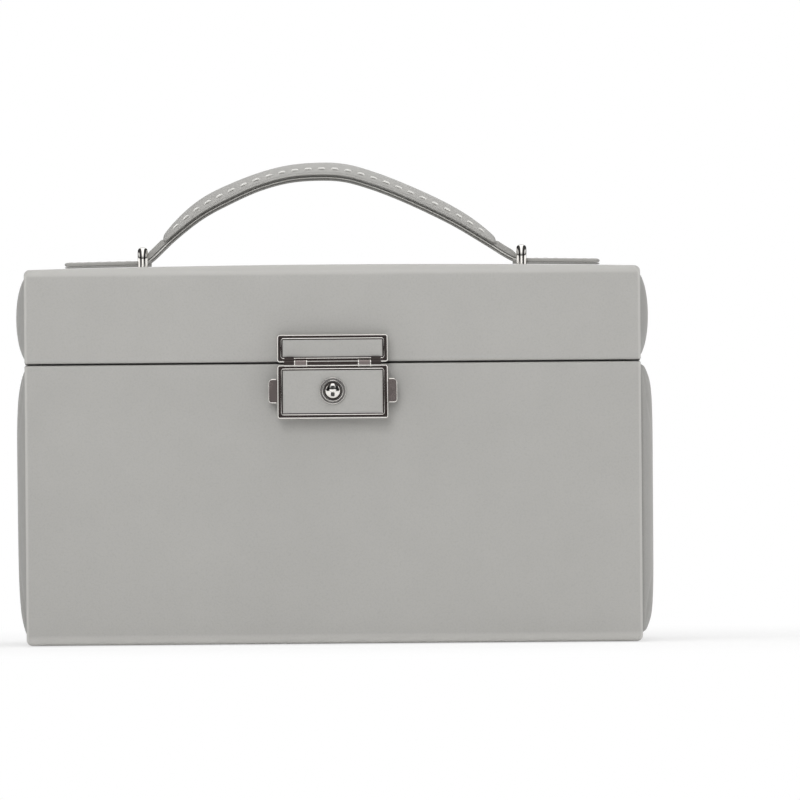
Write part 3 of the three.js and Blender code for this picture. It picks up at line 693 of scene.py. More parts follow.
def cover_outline(rim_z, far_z, inward):
    """(y, z, inward normal y, z, thickness) along the U from the front rim to the back rim.

    inward is 1 when the far face is the bottom and -1 when it is the top.
    """
    def half(face, s):
        """from the rim's inner hem to the far face; s points from this face into the case"""
        r = RIM_RADIUS
        points = []
        for k in range(4):
            y = face + s * (HEM_DEPTH - k * (HEM_DEPTH - r) / 3.0)
            points.append((y, rim_z, 0, -inward, HEM_THICK))
        for a in np.linspace(0, 90, 7)[1:]:
            sine, cosine = math.sin(math.radians(a)), math.cos(math.radians(a))
            points.append((face + s * (r - r * sine), rim_z - inward * (r - r * cosine),
                           s * sine, -inward * cosine,
                           HEM_THICK + (COVER_THICK - HEM_THICK) * a / 90))
        start, end = rim_z - inward * r, far_z + inward * COVER_CORNER
        for k in range(1, 14):
            points.append((face, start + (end - start) * k / 14, s, 0, COVER_THICK))
        r = COVER_CORNER
        for a in np.linspace(0, 90, 10):
            sine, cosine = math.sin(math.radians(a)), math.cos(math.radians(a))
            points.append((face + s * (r - r * cosine), far_z + inward * (r - r * sine),
                           s * cosine, inward * sine, COVER_THICK))
        return points

    front, back = half(FRONT_Y, 1), half(BACK_Y, -1)
    y0, y1 = front[-1][0], back[-1][0]
    middle = [(y0 + (y1 - y0) * k / 24, far_z, 0, inward, COVER_THICK) for k in range(1, 24)]
    return front + middle + back[::-1]


# (x, angle round the end, share of the flange) from the middle to an end; in the first rows
# x is given, in the rest it follows from the angle
COVER_STATIONS = [(x, None, 0.0) for x in (0, 12, 24, 36, 48, 60, 72, 84, 94, 102, 107, 109.3)]
COVER_STATIONS += [(109.75, None, 0.35), (110.1, None, 1.0)]
COVER_STATIONS += [(None, a, 1.0) for a in np.radians(np.linspace(0, 90, 9))]


def cover_ring(outline, mirror, station, is_lid):
    station_x, angle, flange = station
    outer, inner = [], []
    for y, z, ny, nz, thick in outline:
        hem = thick < 0.95
        x, drop = station_x, 0.0
        if angle is not None:
            r = END_RADIUS if hem else END_RADIUS * abs(ny) + END_RADIUS_FAR * abs(nz)
            x, drop = HALF_WIDTH - r + r * math.sin(angle), r * (1 - math.cos(angle))
        if hem:
            drop = min(drop, thick * 0.45)
        else:
            thick += (FLANGE_THICK - thick) * flange
        top = is_lid and z > LID_TOP - 0.6
        outer_z = z + crown(x) * (1 - abs(ny)) ** 0.5 if top else z
        outer.append((mirror * x, y + ny * drop, outer_z + nz * drop))
        inner.append((mirror * x, y + ny * thick, z + nz * thick))
    return outer + inner[::-1]


def cover(name, node, body, mat, outline):
    rings = [cover_ring(outline, -1, s, body == "lid") for s in COVER_STATIONS[:0:-1]]
    rings += [cover_ring(outline, 1, s, body == "lid") for s in COVER_STATIONS]
    n = len(rings[0])
    verts, faces = loft(rings, caps=False)
    for base in (0, (len(rings) - 1) * n):
        for k in range(n // 2 - 1):
            faces.append((base + k, base + k + 1, base + n - 2 - k, base + n - 1 - k))
    build(name, (verts, faces), mat, body, 50, (node,))


cover("body_cover", "body_wrap", "case", M_COVER, cover_outline(BODY_TOP, 0.0, 1))
cover("lid_cover", "lid_wrap", "lid", M_LID, cover_outline(LID_LOW, LID_TOP, -1))

# ------------------------------------------------------------------ padded side panels
PANEL_Y = (FRONT_Y + 2.75, BACK_Y - 2.75)
PANEL_BACK_X, PANEL_EDGE_X = 109.7, 110.2
PANEL_MOST_X = 117.2
PANEL_TURN_Y = 1.9  # width of the turned edge at the front and back
RIM_X = (106.45, 112.25)


def crowded(steps, reach):
    """-1 to 1 in steps that get shorter towards both ends"""
    quarter = math.pi / 2 * reach
    return np.sin(np.linspace(-1, 1, steps + 1) * math.pi / 2 * reach) / math.sin(quarter)


def side_panel(side, sign, body, node, z_span, rim_span, bulge,
               lean=0.0, power=2.3, proud=2.1, turn_z=1.9):
    """A leather panel on the side: flat behind, crowned outside, with a slab on the board's rim.

    proud is the height of the turned edge, turn_z its width below and above. bulge is the
    crown, flatter in the middle with a higher power and fuller at the top with more lean.
    """
    (y0, y1), (z0, z1) = PANEL_Y, z_span
    columns = 60
    rows = max(18, int((z1 - z0) / 2.4))
    half_y, half_z = (y1 - y0) / 2, (z1 - z0) / 2
    front, back = [], []
    for j in crowded(rows, 0.9):
        for i in crowded(columns, 0.93):
            turn = turned(min((1 - abs(i)) * half_y / PANEL_TURN_Y,
                              (1 - abs(j)) * half_z / turn_z))
            fade = 1 - math.exp(-(1 - abs(i)) * half_y / 9.0)
            full = fade * (1 - abs(j) ** power)
            x = PANEL_EDGE_X + proud * turn + bulge * full * (1.0 + lean * j)
            y, z = (y0 + y1) / 2 + i * half_y, (z0 + z1) / 2 + j * half_z
            front.append((sign * x, y, z))
            back.append((sign * PANEL_BACK_X, y, z))
    ob = build("side_panel_" + body + "_" + side, (front + back, pad_faces(columns, rows)),
               M_SIDE, smooth=70)
    pins = np.where(np.abs(read_points(ob.data)[:, 0]) / MM < 110.6)[0]
    high = np.array([PANEL_MOST_X, np.inf, np.inf])
    soften(ob, pins, 0.8, -high, high)
    register(ob, body, (node,))
    verts, faces = rounded_slab(RIM_X, (y0 - 0.1, y1 + 0.1), rim_span,
                                plan_radius=0.6, edge_radius=0.3, edge_steps=3)
    verts = [(sign * x, y, z) for x, y, z in verts]
    build("side_rim_" + body + "_" + side, (verts, faces), M_SIDE, body, 60)


BODY_PANEL = {
    "left": dict(bulge=2.5, lean=0.1, power=5.0, proud=2.3, turn_z=1.9),
    "right": dict(bulge=2.4, lean=0.04, power=7.0, proud=3.5, turn_z=1.1),
}
LID_BULGE = {"left": 3.4, "right": 3.1}
for side, sign in SIDES:
    side_panel(side, sign, "case", "body_side_pad_" + side, (2.4, BODY_TOP - 0.25),
               (BODY_TOP - 0.62, BODY_TOP + 0.06), **BODY_PANEL[side])
    side_panel(side, sign, "lid", "lid_side_pad_" + side, (LID_LOW + 0.15, LID_TOP - 1.9),
               (LID_LOW - 0.5, LID_LOW + 0.62), bulge=LID_BULGE[side])

# ------------------------------------------------------------------ handle
LOOP_BASE = LID_TOP + crown(LOOP_X)
# underside of the handle: (x, height above LOOP_BASE)
UNDERSIDE = [
    (-69.2, 0.2), (-66.4, 1.4), (-57.2, 9.8), (-47, 17.6), (-36.8, 23.0), (-26.5, 27.5),
    (-16.2, 30.3), (-6, 31.2), (4.2, 30.7), (14.5, 27.8), (24.7, 23.8), (34.9, 19.1),
    (45.2, 13.8), (55.4, 7.6), (65.7, 1.3), (69.2, 0.2),
]
LAST = 120  # stations 0 to LAST run along the arch from left to right
ARCH = catmull([(x, LOOP_BASE + h) for x, h in UNDERSIDE], LAST + 1)
ARCH_NORMALS = directions(ARCH)[:, ::-1] * (-1, 1)
STATION = float(np.linalg.norm(ARCH[60] - ARCH[61]))  # millimetres between stations


def on_arch(i, w, h):
    """Point at station i, which may be fractional, w across and h above the underside."""
    i = min(max(i, 0), LAST)
    a = int(min(i, LAST - 1))
    f = i - a
    point = ARCH[a] * (1 - f) + ARCH[a + 1] * f
    normal = ARCH_NORMALS[a] * (1 - f) + ARCH_NORMALS[a + 1] * f
    normal = normal / np.linalg.norm(normal)
    return (float(point[0] + normal[0] * h), MID_Y + w, float(point[1] + normal[1] * h))


def strap_section(half, low, high, r):
    """Flat strap outline in (w, h) with rounded edges."""
    return rounded_rect(-half, half, low, high, r, 5)


def ease(t):
    t = min(max(t, 0.0), 1.0)
    return t * t * (3 - 2 * t)


def arch_band(name, half, low, high, r, mat, swell, replaces):
    """One layer of the strap from loop to loop; swell thickens it outside the grip."""
    rings = []
    for i in np.linspace(0, LAST, LAST * 2 + 1):
        e = min(i, LAST - i)
        share = 0.2 + 0.8 * ease(e / 4.5) if e < 8.9 else 1 - ease((e - 8.9) / 2.2)
        section = strap_section(half, low, high + swell * share, r)
        rings.append([on_arch(i, w, h) for w, h in section])
    return build(name, loft(rings), mat, "lid", 60, replaces)


# name, half width, underside, top, edge radius, material, swell, replaced pieces
BANDS = [
    ("strap_lining", STRAP_HALF, 0.0, 0.50, 0.2, M_LINING, 0.0, ("handle_strap",)),
    ("strap_core", STRAP_HALF - 0.4, 0.44, 1.80, 0.1, M_EDGE, 0.0, ()),
    ("strap_piping", STRAP_HALF + 0.05, 0.90, 1.36, 0.18, M_LINE, 0.0, ()),
    ("strap_cover", STRAP_HALF + 0.03, 1.72, 2.05, 0.155, M_STRAP, 1.75, ()),
]

# padded grip: turned edge, crowned top, narrower at both ends
GRIP_START, GRIP_END = 9.5, 110.5  # stations
GRIP_HALF = 10.0
GRIP_ROUND = 1.5  # stations over which an end rounds off
GRIP_RIM = 0.55  # from the edge to the foot of the padding
GRIP_EDGE_TOP, GRIP_PADDING = 2.75, 4.1


def from_grip_end(i):
    return min(i - GRIP_START, GRIP_END - i)


def grip_end(i):
    """0 at the very end of the grip, 1 from GRIP_ROUND stations in"""
    return turned(from_grip_end(i) / GRIP_ROUND)


def grip_full(i):
    """Fullness of the padding, which has a swelling near each end."""
    e = STATION * max(0.0, from_grip_end(i))
    half = STATION * (GRIP_END - GRIP_START) / 2
    swelling = (0.17 if i < 60 else 0.05) * math.exp(-((e - 23) / 11) ** 2)
    full = 0.33 + 0.55 * (1 - math.exp(-e / 7.5)) + 0.08 * (e / half) ** 2 + swelling
    return full * (0.25 + 0.75 * grip_end(i))


def grip_width(i):
    """half width"""
    return GRIP_HALF * (0.80 + 0.20 * turned(max(0.0, from_grip_end(i)) / 6.0))


def dome(w, half, full):
    q = min(1.0, abs(w) / (half - GRIP_RIM))
    return GRIP_EDGE_TOP + (GRIP_PADDING * full) * (1 - q ** 2.3) ** 0.62


def grip_ring(i):
    full, half = grip_full(i), grip_width(i)
    low = 2.10 + 0.25 * (1 - grip_end(i))
    r = 0.40
    section = [(-half + 0.25, low), (half - 0.25, low)]
    section += arc(half - r, low + r, r, -60, 75, 6)
    across = (half - GRIP_RIM) * np.sin(np.linspace(math.pi / 2, -math.pi / 2, 33))
    section += [(w, dome(w, half, full)) for w in across]
    section += arc(-half + r, low + r, r, 105, 240, 6)
    return [on_arch(i, w, h) for w, h in section]


def grip_pad():
    """Stations crowd towards the rounded ends."""
    start, end, near = GRIP_START, GRIP_END, GRIP_ROUND
    crowding = near * (1 - np.cos(np.linspace(0, math.pi / 2, 9)))
    stations = np.concatenate([
        start + crowding[:-1], np.linspace(start + near, start + 8, 12)[:-1],
        np.linspace(start + 8, end - 8, 84),
        np.linspace(end - 8, end - near, 12)[1:], end - crowding[::-1][1:],
    ])
    return build("grip_pad", loft([grip_ring(i) for i in stations]), M_STRAP, "lid",
                 60, ("handle_grip",))


def grip_stitches(side, sign):
    """A row of stitches on the dome beside one long edge of the grip."""
    path, normals = [], []
    for i in np.linspace(GRIP_START + 2.0, GRIP_END - 2.0, 200):
        half, full = grip_width(i), grip_full(i)
        w = sign * (half - 1.65)
        h = dome(w, half, full)
        point = np.array(on_arch(i, w, h))
        inward = np.array(on_arch(i, w * 0.98, dome(w * 0.98, half, full))) - point
        ahead = np.array(on_arch(i + 0.2, w, h)) - point
        normal = np.cross(ahead, inward)
        normal *= 1 if normal[2] > 0 else -1
        path.append(point)
        normals.append(normal / np.linalg.norm(normal))
    return stitches("grip_stitches_" + side, path, normals, "lid",
                    length=3.0, pitch=4.9, radius=0.42, lift=0.2)


arch_parts = [arch_band(*row) for row in BANDS]
arch_parts.append(grip_pad())
arch_parts += [grip_stitches(side, sign) for side, sign in (("front", -1), ("rear", 1))]
for ob in arch_parts:
    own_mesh(ob)

# flat strap ends through the loops, which slide out on the case; here only their stitches ride the
# strap_end body
END_IN_X, END_OUT_X = 66.3, 98.2
TIP = 5.0  # length of the rounded tip
TIP_X = END_OUT_X - TIP
END_TOP = 2.15
END_STITCH_X = 72.8
END_STITCH_INSET = 1.7


def end_low(x):
    return LID_TOP + crown(x) + 0.12


def end_layer(name, sign, low, high, radius, mat, inset=0.0, replaces=()):
    tip = TIP - inset
    xs = np.concatenate([np.linspace(END_IN_X, TIP_X, 26)[:-1],
                         TIP_X + tip * np.sin(np.linspace(0, math.pi / 2, 14))])
    rings = []
    for x in xs:
        e = max(0.0, (x - TIP_X) / tip)
        half = STRAP_HALF - inset - tip * (1 - math.sqrt(max(0.0, 1 - e * e))) * 0.98
        half = max(half, 0.4)
        thick = max(0.25, min(1.0, math.sqrt(max(0.0, 1 - e ** 6)) + 0.15))
        pinch = (high - low) * (1 - thick) / 2
        r = min(radius, (high - low) / 2 - pinch - 0.01, half * 0.9)
        section = strap_section(half, low + pinch, high - pinch, max(r, 0.05))
        rings.append([(sign * x, MID_Y + w, end_low(x) + h) for w, h in section])
    ob = build(name, loft(rings), mat, None, 60, replaces)
    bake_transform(ob)


def strap_end(side, sign):
    end_layer("strap_end_lining_" + side, sign, 0.0, 0.62, 0.25, M_LINING, 0.05,
              ("strap_end_" + side,))
    end_layer("strap_end_cover_" + side, sign, 0.64, END_TOP, 0.5, M_STRAP)
    half = STRAP_HALF - END_STITCH_INSET
    line = [(x, -half) for x in np.linspace(END_STITCH_X, TIP_X, 30)]
    for a in np.radians(np.linspace(-90, 90, 24)[1:-1]):
        line.append((TIP_X + (TIP - END_STITCH_INSET) * math.cos(a), half * math.sin(a)))
    line += [(x, half) for x in np.linspace(TIP_X, END_STITCH_X, 30)]
    path = [(sign * x, MID_Y + w, end_low(x) + END_TOP) for x, w in line]
    stitches("strap_end_stitches_" + side, path, [(0, 0, 1)] * len(path),
             "strap_end_" + side, length=2.3, pitch=3.6, radius=0.26, lift=-0.06)


for side, sign in SIDES:
    strap_end(side, sign)

LOOP_HALF = 8.8  # to the middle of the loop's legs
LOOP_BEND = 3.0
LOOP_RADII = (1.85, 1.3)  # along x, across
LOOP_TOP = LOOP_BASE + 7.3
LOOP_FOOT = 136.4


def loop(side, sign):
    """A thick loop standing on the lid, in a plane of constant x."""
    bar_z = LOOP_TOP - LOOP_RADII[1]
    bend_y, bend_z = LOOP_HALF - LOOP_BEND, bar_z - LOOP_BEND
    line = [(-LOOP_HALF, z) for z in np.linspace(LOOP_FOOT, bend_z, 8)]
    line += arc(-bend_y, bend_z, LOOP_BEND, 180, 90, 12)[1:]
    line += [(y, bar_z) for y in np.linspace(-bend_y, bend_y, 8)[1:-1]]
    line += arc(bend_y, bend_z, LOOP_BEND, 90, 0, 12)
    line += [(LOOP_HALF, z) for z in np.linspace(bend_z, LOOP_FOOT, 8)[1:]]
    path = [(sign * LOOP_X, MID_Y + y, z) for y, z in line]
    shape = tube(path, lambda point, tangent: X_AXIS, LOOP_RADII, 24)
    build("loop_" + side, shape, M_NICKEL, "lid", 60,
          ("handle_loop_" + side,))


for side, sign in SIDES:
    loop(side, sign)

# ------------------------------------------------------------------ lock plates
# depths and heights of the lock are measured forwards from the front face
PLATE_HALF = 20.1
INLAY_INSET = 1.72
# name, z low, z high, depth, body, replaced inlay
PLATES = [
    ("top_plate", 102.9, 112.8, 4.6, "lid", "lock_top_inlay"),
    ("flap", 82.3, 101.7, 6.0, "hasp", "lock_flap_inlay"),
]
# name, material, corner radius, growth beyond the plate,
# profile of (inset from the outer edge, height above the plate's depth)
TRIMS = [
    ("_rim", M_NICKEL, 1.0, 0.15,
     [(0.0, -0.9), (0.0, 0.26), (0.08, 0.38), (0.3, 0.42), (0.48, 0.36), (0.6, 0.04),
      (0.6, -0.2)]),
    # painted shade: the groove rings are flat and near-black, standing for the shade in the frame's
    # grooves
    ("_groove", M_DARK, 0.9, 0.0, [(0.3, -0.1), (0.3, 0.03), (1.4, 0.03), (1.4, -0.1)]),
    ("_bead", M_NICKEL, 2.1, 0.0,
     [(1.12, -0.05), (1.12, 0.12), (1.2, 0.27), (1.32, 0.32), (1.44, 0.27), (1.54, 0.1),
      (1.54, -0.05)]),
    ("_inner_groove", M_DARK, 2.0, 0.0,
     [(1.4, -0.1), (1.4, 0.02), (1.9, 0.02), (1.9, -0.1)]),
]


def plate_trim(tag, z0, z1, depth, body):
    """Picture-frame rings round a plate."""
    for suffix, mat, corner, grow, profile in TRIMS:
        rings = []
        for inset, height in profile + profile[:1]:
            edge = inset - grow
            outline = rounded_rect(-PLATE_HALF + edge, PLATE_HALF - edge, z0 + edge, z1 - edge,
                                   max(corner - inset, 0.12), 6)
            rings.append([(x, FRONT_Y - (depth + height), z) for x, z in outline])
        build(tag + suffix, loft(rings, caps=False), mat, body, 35)


def inlay(tag, z0, z1, depth, body, node):
    """Leather panel inside the trim with its edges turned down and a flat back."""
    columns, rows = 60, 28
    half = PLATE_HALF - INLAY_INSET
    z0, z1 = z0 + INLAY_INSET, z1 - INLAY_INSET
    low, rise = depth - 0.1, 0.28
    verts = []
    for z in np.linspace(z0, z1, rows + 1):
        for x in np.linspace(-half, half, columns + 1):
            inside = min(x + half, half - x, z - z0, z1 - z)
            verts.append((x, FRONT_Y - (low + rise * turned(inside / 0.9)), z))
    faces, rim = grid_faces(columns, rows)
    faces.append(tuple(reversed(rim)))
    build(tag + "_leather", (verts, faces), M_INLAY, body, 80, (node,))


for tag, z0, z1, depth, body, node in PLATES:
    plate_trim(tag, z0, z1, depth, body)
for plate in PLATES:
    inlay(*plate)

# bright washers at both ends of each short knuckle
for side, sign in SIDES:
    for tag, h in (("inner", 9.3), ("outer", 13.7)):
        profile = [(0.70, h), (1.36, h), (1.42, h + 0.08), (1.42, h + 0.24), (1.36, h + 0.32),
                   (0.70, h + 0.32)]
        lathe("knuckle_washer_" + tag + "_" + side, profile, (0, FRONT_Y - 5.8, 102.3),
              M_NICKEL, "hasp", "x" if sign > 0 else "-x", 28, 30, closed=True)

# ------------------------------------------------------------------ lock collar and button
LOCK = (0, FRONT_Y, LOCK_Z)
lathe("collar_land", [(3.5, 6.5), (3.5, 6.86), (4.75, 6.86), (4.8, 6.5)], LOCK, M_SATIN,
      "hasp", sides=56, smooth=30, closed=True)
# name, radius, height, wire radius, material, flattening
COLLAR_RINGS = [
    ("collar_ring_outer", 4.74, 6.84, 0.13, M_NICKEL, 1.0),
    # painted shade: the collar's dark lines are flattened near-black rings standing for the shade
    # between its bright rings
    ("collar_line", 4.36, 6.86, 0.11, M_DARK, 0.5),
    ("collar_ring_inner", 3.74, 6.9, 0.2, M_NICKEL, 1.0),
    ("collar_line_inner", 4.0, 6.86, 0.09, M_DARK, 0.5),
]
for name, radius, height, wire, mat, flat in COLLAR_RINGS:
    lathe(name, bead(radius, height, wire, flat), LOCK, mat, "hasp",
          sides=56, smooth=80, closed=True)


def pierce(ob, cutters):
    """Cuts the cutters out of the mesh and removes them."""
    for cutter in cutters:
        cut = ob.modifiers.new("cut", "BOOLEAN")
        cut.operation = "DIFFERENCE"
        cut.solver = "EXACT"
        cut.object = cutter
    depsgraph = bpy.context.evaluated_depsgraph_get()
    pierced = bpy.data.meshes.new_from_object(ob.evaluated_get(depsgraph))
    ob.modifiers.clear()
    ob.data = pierced
    for cutter in cutters:
        bpy.data.objects.remove(cutter, do_unlink=True)


def barrel_button():
    """Domed button pierced by two keyholes for the forked key."""
    profile = [(2.72, 7.5), (2.74, 7.66), (2.66, 7.80)]
    profile += [(2.6 * math.cos(a), 7.80 + 0.6 * math.sin(a))
                for a in np.linspace(0.12, math.pi / 2 - 0.02, 12)]
    button = lathe("barrel_button", profile, LOCK, M_NICKEL, "barrel", sides=64, smooth=60)
    holes = []
    for tag, span in (("upper", (0.5, 1.8)), ("lower", (-2.05, -0.5))):
        verts, faces = rounded_slab((-0.68, 0.68), span, (7.0, 9.0),
                                    plan_radius=0.3, edge_radius=0.05, edge_steps=1)
        verts = [(x, FRONT_Y - depth, LOCK_Z + z) for x, z, depth in verts]
        holes.append(build("hole_" + tag, (verts, faces), M_DARK))
    pierce(button, holes)
    smooth_shade(button, 40)


barrel_button()

# ------------------------------------------------------------------ squeeze tabs
# wire-like edge round each tab's face: (x, z) from the lock's centre
TAB_LINE = [(20.6, 4.25)] + arc(22.15, 3.05, 1.2, 90, 0, 7)
TAB_LINE += arc(22.15, -3.05, 1.2, 0, -90, 7) + [(20.6, -4.25)]
for side, sign in SIDES:
    path = [(sign * x, FRONT_Y - 4.2, LOCK_Z + z) for x, z in TAB_LINE]
    build("tab_edge_" + side, tube(path, across_y, (0.22, 0.22), 10), M_NICKEL,
          "catch_" + side, 80)

SPRING_X, SPRING_Y, SPRING_Z = 6.2, FRONT_Y - 3.85, LOCK_Z + 5.5
SPRING_LENGTH = 5.6
COIL_RADIUS, WIRE_RADIUS = 0.5, 0.13
COIL_STEPS = 16
SPRING_STEPS = 6 * COIL_STEPS


def coil_outward(point, tangent):
    """away from the spring's axis, square to the wire"""
    out = np.array([0.0, point[1] - SPRING_Y, point[2] - SPRING_Z])
    out -= tangent * out.dot(tangent)
    return out / np.linalg.norm(out)


def tab_spring(side, sign):
    """Return spring of a tab, a fixed coil riding the hasp; on the lock it shortens as the tab is
    squeezed.
    """
    path = []
    for i in range(SPRING_STEPS + 1):
        angle = 2 * math.pi * i / COIL_STEPS
        path.append((sign * (SPRING_X + SPRING_LENGTH * i / SPRING_STEPS),
                     SPRING_Y + COIL_RADIUS * math.cos(angle),
                     SPRING_Z + COIL_RADIUS * math.sin(angle)))
    shape = tube(path, coil_outward, (WIRE_RADIUS, WIRE_RADIUS), 8)
    ob = build("tab_spring_" + side, shape, M_STEEL, "hasp", 80,
               ("catch_spring_" + side,))
    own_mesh(ob)


for side, sign in SIDES:
    tab_spring(side, sign)

# ------------------------------------------------------------------ hinge screws
HINGE_X = 60
SCREW_PITCH = 12
SCREW_ROW = 11.5  # from the seam to the middle of a row of screws
SCREW_STAGGER = 2.5
SCREW_RADIUS = 1.9


def hinge_screw(tag, body, x, z, turn):
    """Domed screw head with two crossed dark slots, turned by turn degrees."""
    y = BACK_Y + 1.28
    profile = [(SCREW_RADIUS, -0.3), (SCREW_RADIUS, 0.0)]
    profile += [(SCREW_RADIUS * math.cos(a), 0.62 * math.sin(a))
                for a in np.linspace(0.25, 1.5, 7)]
    lathe("hinge_screw_" + tag, profile, (x, y, z), M_NICKEL, body, "y", 24, 50)
    # painted shade: each slot is a near-black bar standing for the shade inside it
    for suffix, quarter in (("a", 0), ("b", math.pi / 2)):
        angle = math.radians(turn) + quarter
        cosine, sine = math.cos(angle), math.sin(angle)
        corners = [(cosine * a - sine * b, sine * a + cosine * b)
                   for a, b in ((-1.0, -0.16), (1.0, -0.16), (1.0, 0.16), (-1.0, 0.16))]
        rings = [[(x + u, y + h, z + v) for u, v in corners] for h in (0.3, 0.66)]
        build("screw_slot_" + tag + suffix, loft(rings), M_DARK, body, None)


for side, sign in SIDES:
    for level, body, up in (("lower", "case", -1), ("upper", "lid", 1)):
        for k in range(3):
            # the middle screw of a row stands farther from the seam
            stagger = SCREW_STAGGER if k == 1 else -SCREW_STAGGER
            hinge_screw(level + "_" + side + "_" + str(k + 1), body,
                        sign * HINGE_X + (k - 1) * SCREW_PITCH,
                        SEAM_Z + up * (SCREW_ROW + stagger), 35 + 50 * k)

# ------------------------------------------------------------------ ring rolls
ROLL_END = 2.6  # length over which a roll's end rounds off


def ring_roll(index):
    """One foam roll in velvet, flat below and puffed above."""
    node = "ring_roll_" + str(index)
    x0, x1, y0, y1, z0, z1 = box_mm(node)
    half, mid_y = (y1 - y0) / 2, (y0 + y1) / 2
    top = z1 - 0.6
    section = []
    for k in range(26):
        a = math.pi * k / 25
        cosine, sine = math.cos(a), math.sin(a)
        section.append((half * math.copysign(abs(cosine) ** 0.72, cosine) * 0.985,
                        z0 + 4.5 + (top - z0 - 4.5) * sine ** 0.78))
    section += [(-half * 0.985, z) for z in (z0 + 3.0, z0 + 1.2)]
    section += [(y, z0 + 0.15) for y in np.linspace(-half * 0.93, half * 0.93, 9)]
    section += [(half * 0.985, z) for z in (z0 + 1.2, z0 + 3.0)]
    mid_z = (z0 + top) / 2 - 3
    crowding = ROLL_END * (1 - np.cos(np.linspace(0, math.pi / 2, 6)))
    xs = np.concatenate([x0 + crowding,
                         np.linspace(x0 + ROLL_END, x1 - ROLL_END, 26)[1:-1],
                         x1 - crowding[::-1]])
    rings = []
    for x in xs:
        k = 0.80 + 0.20 * turned(min(x - x0, x1 - x) / ROLL_END)
        rings.append([(x, mid_y + y * k, max(z0 + 0.1, mid_z + (z - mid_z) * k))
                      for y, z in section])
    ob = build("ring_roll_soft_" + str(index), loft(rings), M_ROLL, smooth=80)
    xs, _, zs = read_points(ob.data).T / MM
    pins = np.where((zs < z0 + 1.5) | (xs < x0 + 0.5) | (xs > x1 - 0.5))[0]
    soften(ob, pins, 0.55, (x0 - 0.2, y0 - 0.12, z0 - 0.1), (x1 + 0.2, y1 + 0.12, z1 + 0.3))
    register(ob, "tray", (node,))


for k in range(1, 6):
    ring_roll(k)

# ------------------------------------------------------------------ floor pad
DIVIDER_Y = 1.6  # long divider; a cross divider runs from it to the front at x = 0
DIVIDER_HALF = 1.1


def soft_floor():
    """Thin foam pad on the case's floor, pressed down under the dividers and along the walls."""
    x0, x1, y0, y1, z0, _ = box_mm("body_floor_pad")
    columns, rows = 110, 80
    phase = np.random.default_rng(3).uniform(0, 6.28, 8)
    front, back = [], []
    for j in range(rows + 1):
        for i in range(columns + 1):
            x, y = x0 + (x1 - x0) * i / columns, y0 + (y1 - y0) * j / rows
            d = min(x - x0, x1 - x, y - y0, y1 - y, abs(y - DIVIDER_Y) - DIVIDER_HALF)
            if y < DIVIDER_Y:
                d = min(d, abs(x) - DIVIDER_HALF)
            d = max(0.0, d)
            puff = 1 - math.exp(-d / 5.0)
            waves = 0.12 * math.sin(x * 0.11 + phase[0]) * math.sin(y * 0.13 + phase[1])
            waves += 0.07 * math.sin(x * 0.31 + y * 0.17 + phase[2])
            z = z0 + 0.9 + 0.95 * turned(d / 0.9) + (1.15 + waves) * puff - 0.15
            front.append((x, y, z))
            back.append((x, y, z0))
    build("floor_pad_soft", (front + back, pad_faces(columns, rows)), M_VELVET, "case",
          80, ("body_floor_pad",))


soft_floor()

# ------------------------------------------------------------------ mirror
MIRROR_Y = MID_Y - 1.0
# flat middle, sloping border and edge: (half width, half depth in y, z)
MIRROR_STEPS = [(71.5, 37.5, 128.12), (72.1, 38.1, 128.14), (77.8, 43.8, 128.40),
                (80.6, 46.6, 128.46), (80.6, 46.6, 129.88)]
rings = [[(-x, MIRROR_Y - y, z), (x, MIRROR_Y - y, z), (x, MIRROR_Y + y, z),
          (-x, MIRROR_Y + y, z)] for x, y, z in MIRROR_STEPS]
build("mirror_plate", loft(rings), M_MIRROR, "lid", 3, ("mirror_glass",))

# ------------------------------------------------------------------ key
KEY_X, KEY_Y, KEY_Z = 49.0, -44.0, 91.4
KEY_RELIEF_Z = 0.02  # height of the relief's centre line above KEY_Z
KEY_FLAT = 0.45
# rings on the bow: name, radius, wire radius, x from KEY_X
for name, radius, wire, x in (("key_ring_pressed", 7.2, 0.42, 10.35),
                              ("key_bore_edge", 3.5, 0.3, 7.7)):
    lathe(name, bead(radius, KEY_RELIEF_Z, wire, KEY_FLAT), (KEY_X + x, KEY_Y, KEY_Z),
          M_NICKEL, "tray", "z", 48, 80, closed=True)
# rib along the shaft; the first radius of the tube is upright and the second lies along y
path = [(KEY_X + x, KEY_Y, KEY_Z + KEY_RELIEF_Z) for x in np.linspace(20.5, 35.2, 24)]
build("key_rib", tube(path, across_y, (0.8, 0.8 * KEY_FLAT), 12), M_NICKEL, "tray",
      70)

# ------------------------------------------------------------------ CAD pieces that stay
FINISH = {
    "board": M_BOARD, "velvet": M_VELVET, "polished_nickel": M_NICKEL, "steel": M_STEEL,
    "mirror_glass": M_MIRROR, "grey_leather": M_COVER,
}
# painted shade: the barrel, collar and hinge pin take the near-black nickel, standing for the shade
# round the button and in the hinge gap
OWN_FINISH = {
    "lock_flap": M_FLAP, "lock_top_plate": M_PLATE, "lock_keeper": M_LEAF,
    "lock_barrel": M_DARK, "lock_collar": M_DARK, "hasp_pin": M_DARK,
}
BEVEL = {"board": 0.3, "velvet": 0.5, "polished_nickel": 0.22, "steel": 0.12,
         "mirror_glass": 0.15}
OTHER_BEVEL = 0.2
SLOTS = {part["node"]: part["material_slot"] for part in frame["record"]["subparts"]}


def finish_of(node):
    if node.startswith("catch_") and "spring" not in node:
        return M_TAB
    if node.startswith("hinge_leaf"):
        return M_LEAF
    return OWN_FINISH.get(node, FINISH[SLOTS[node]])


def bevel_edges(ob, width):
    bevel = ob.modifiers.new("edge", "BEVEL")
    bevel.width = width
    bevel.segments = 3
    bevel.limit_method = "ANGLE"
    bevel.angle_limit = math.radians(35)
    bevel.harden_normals = True
    bevel.use_clamp_overlap = True


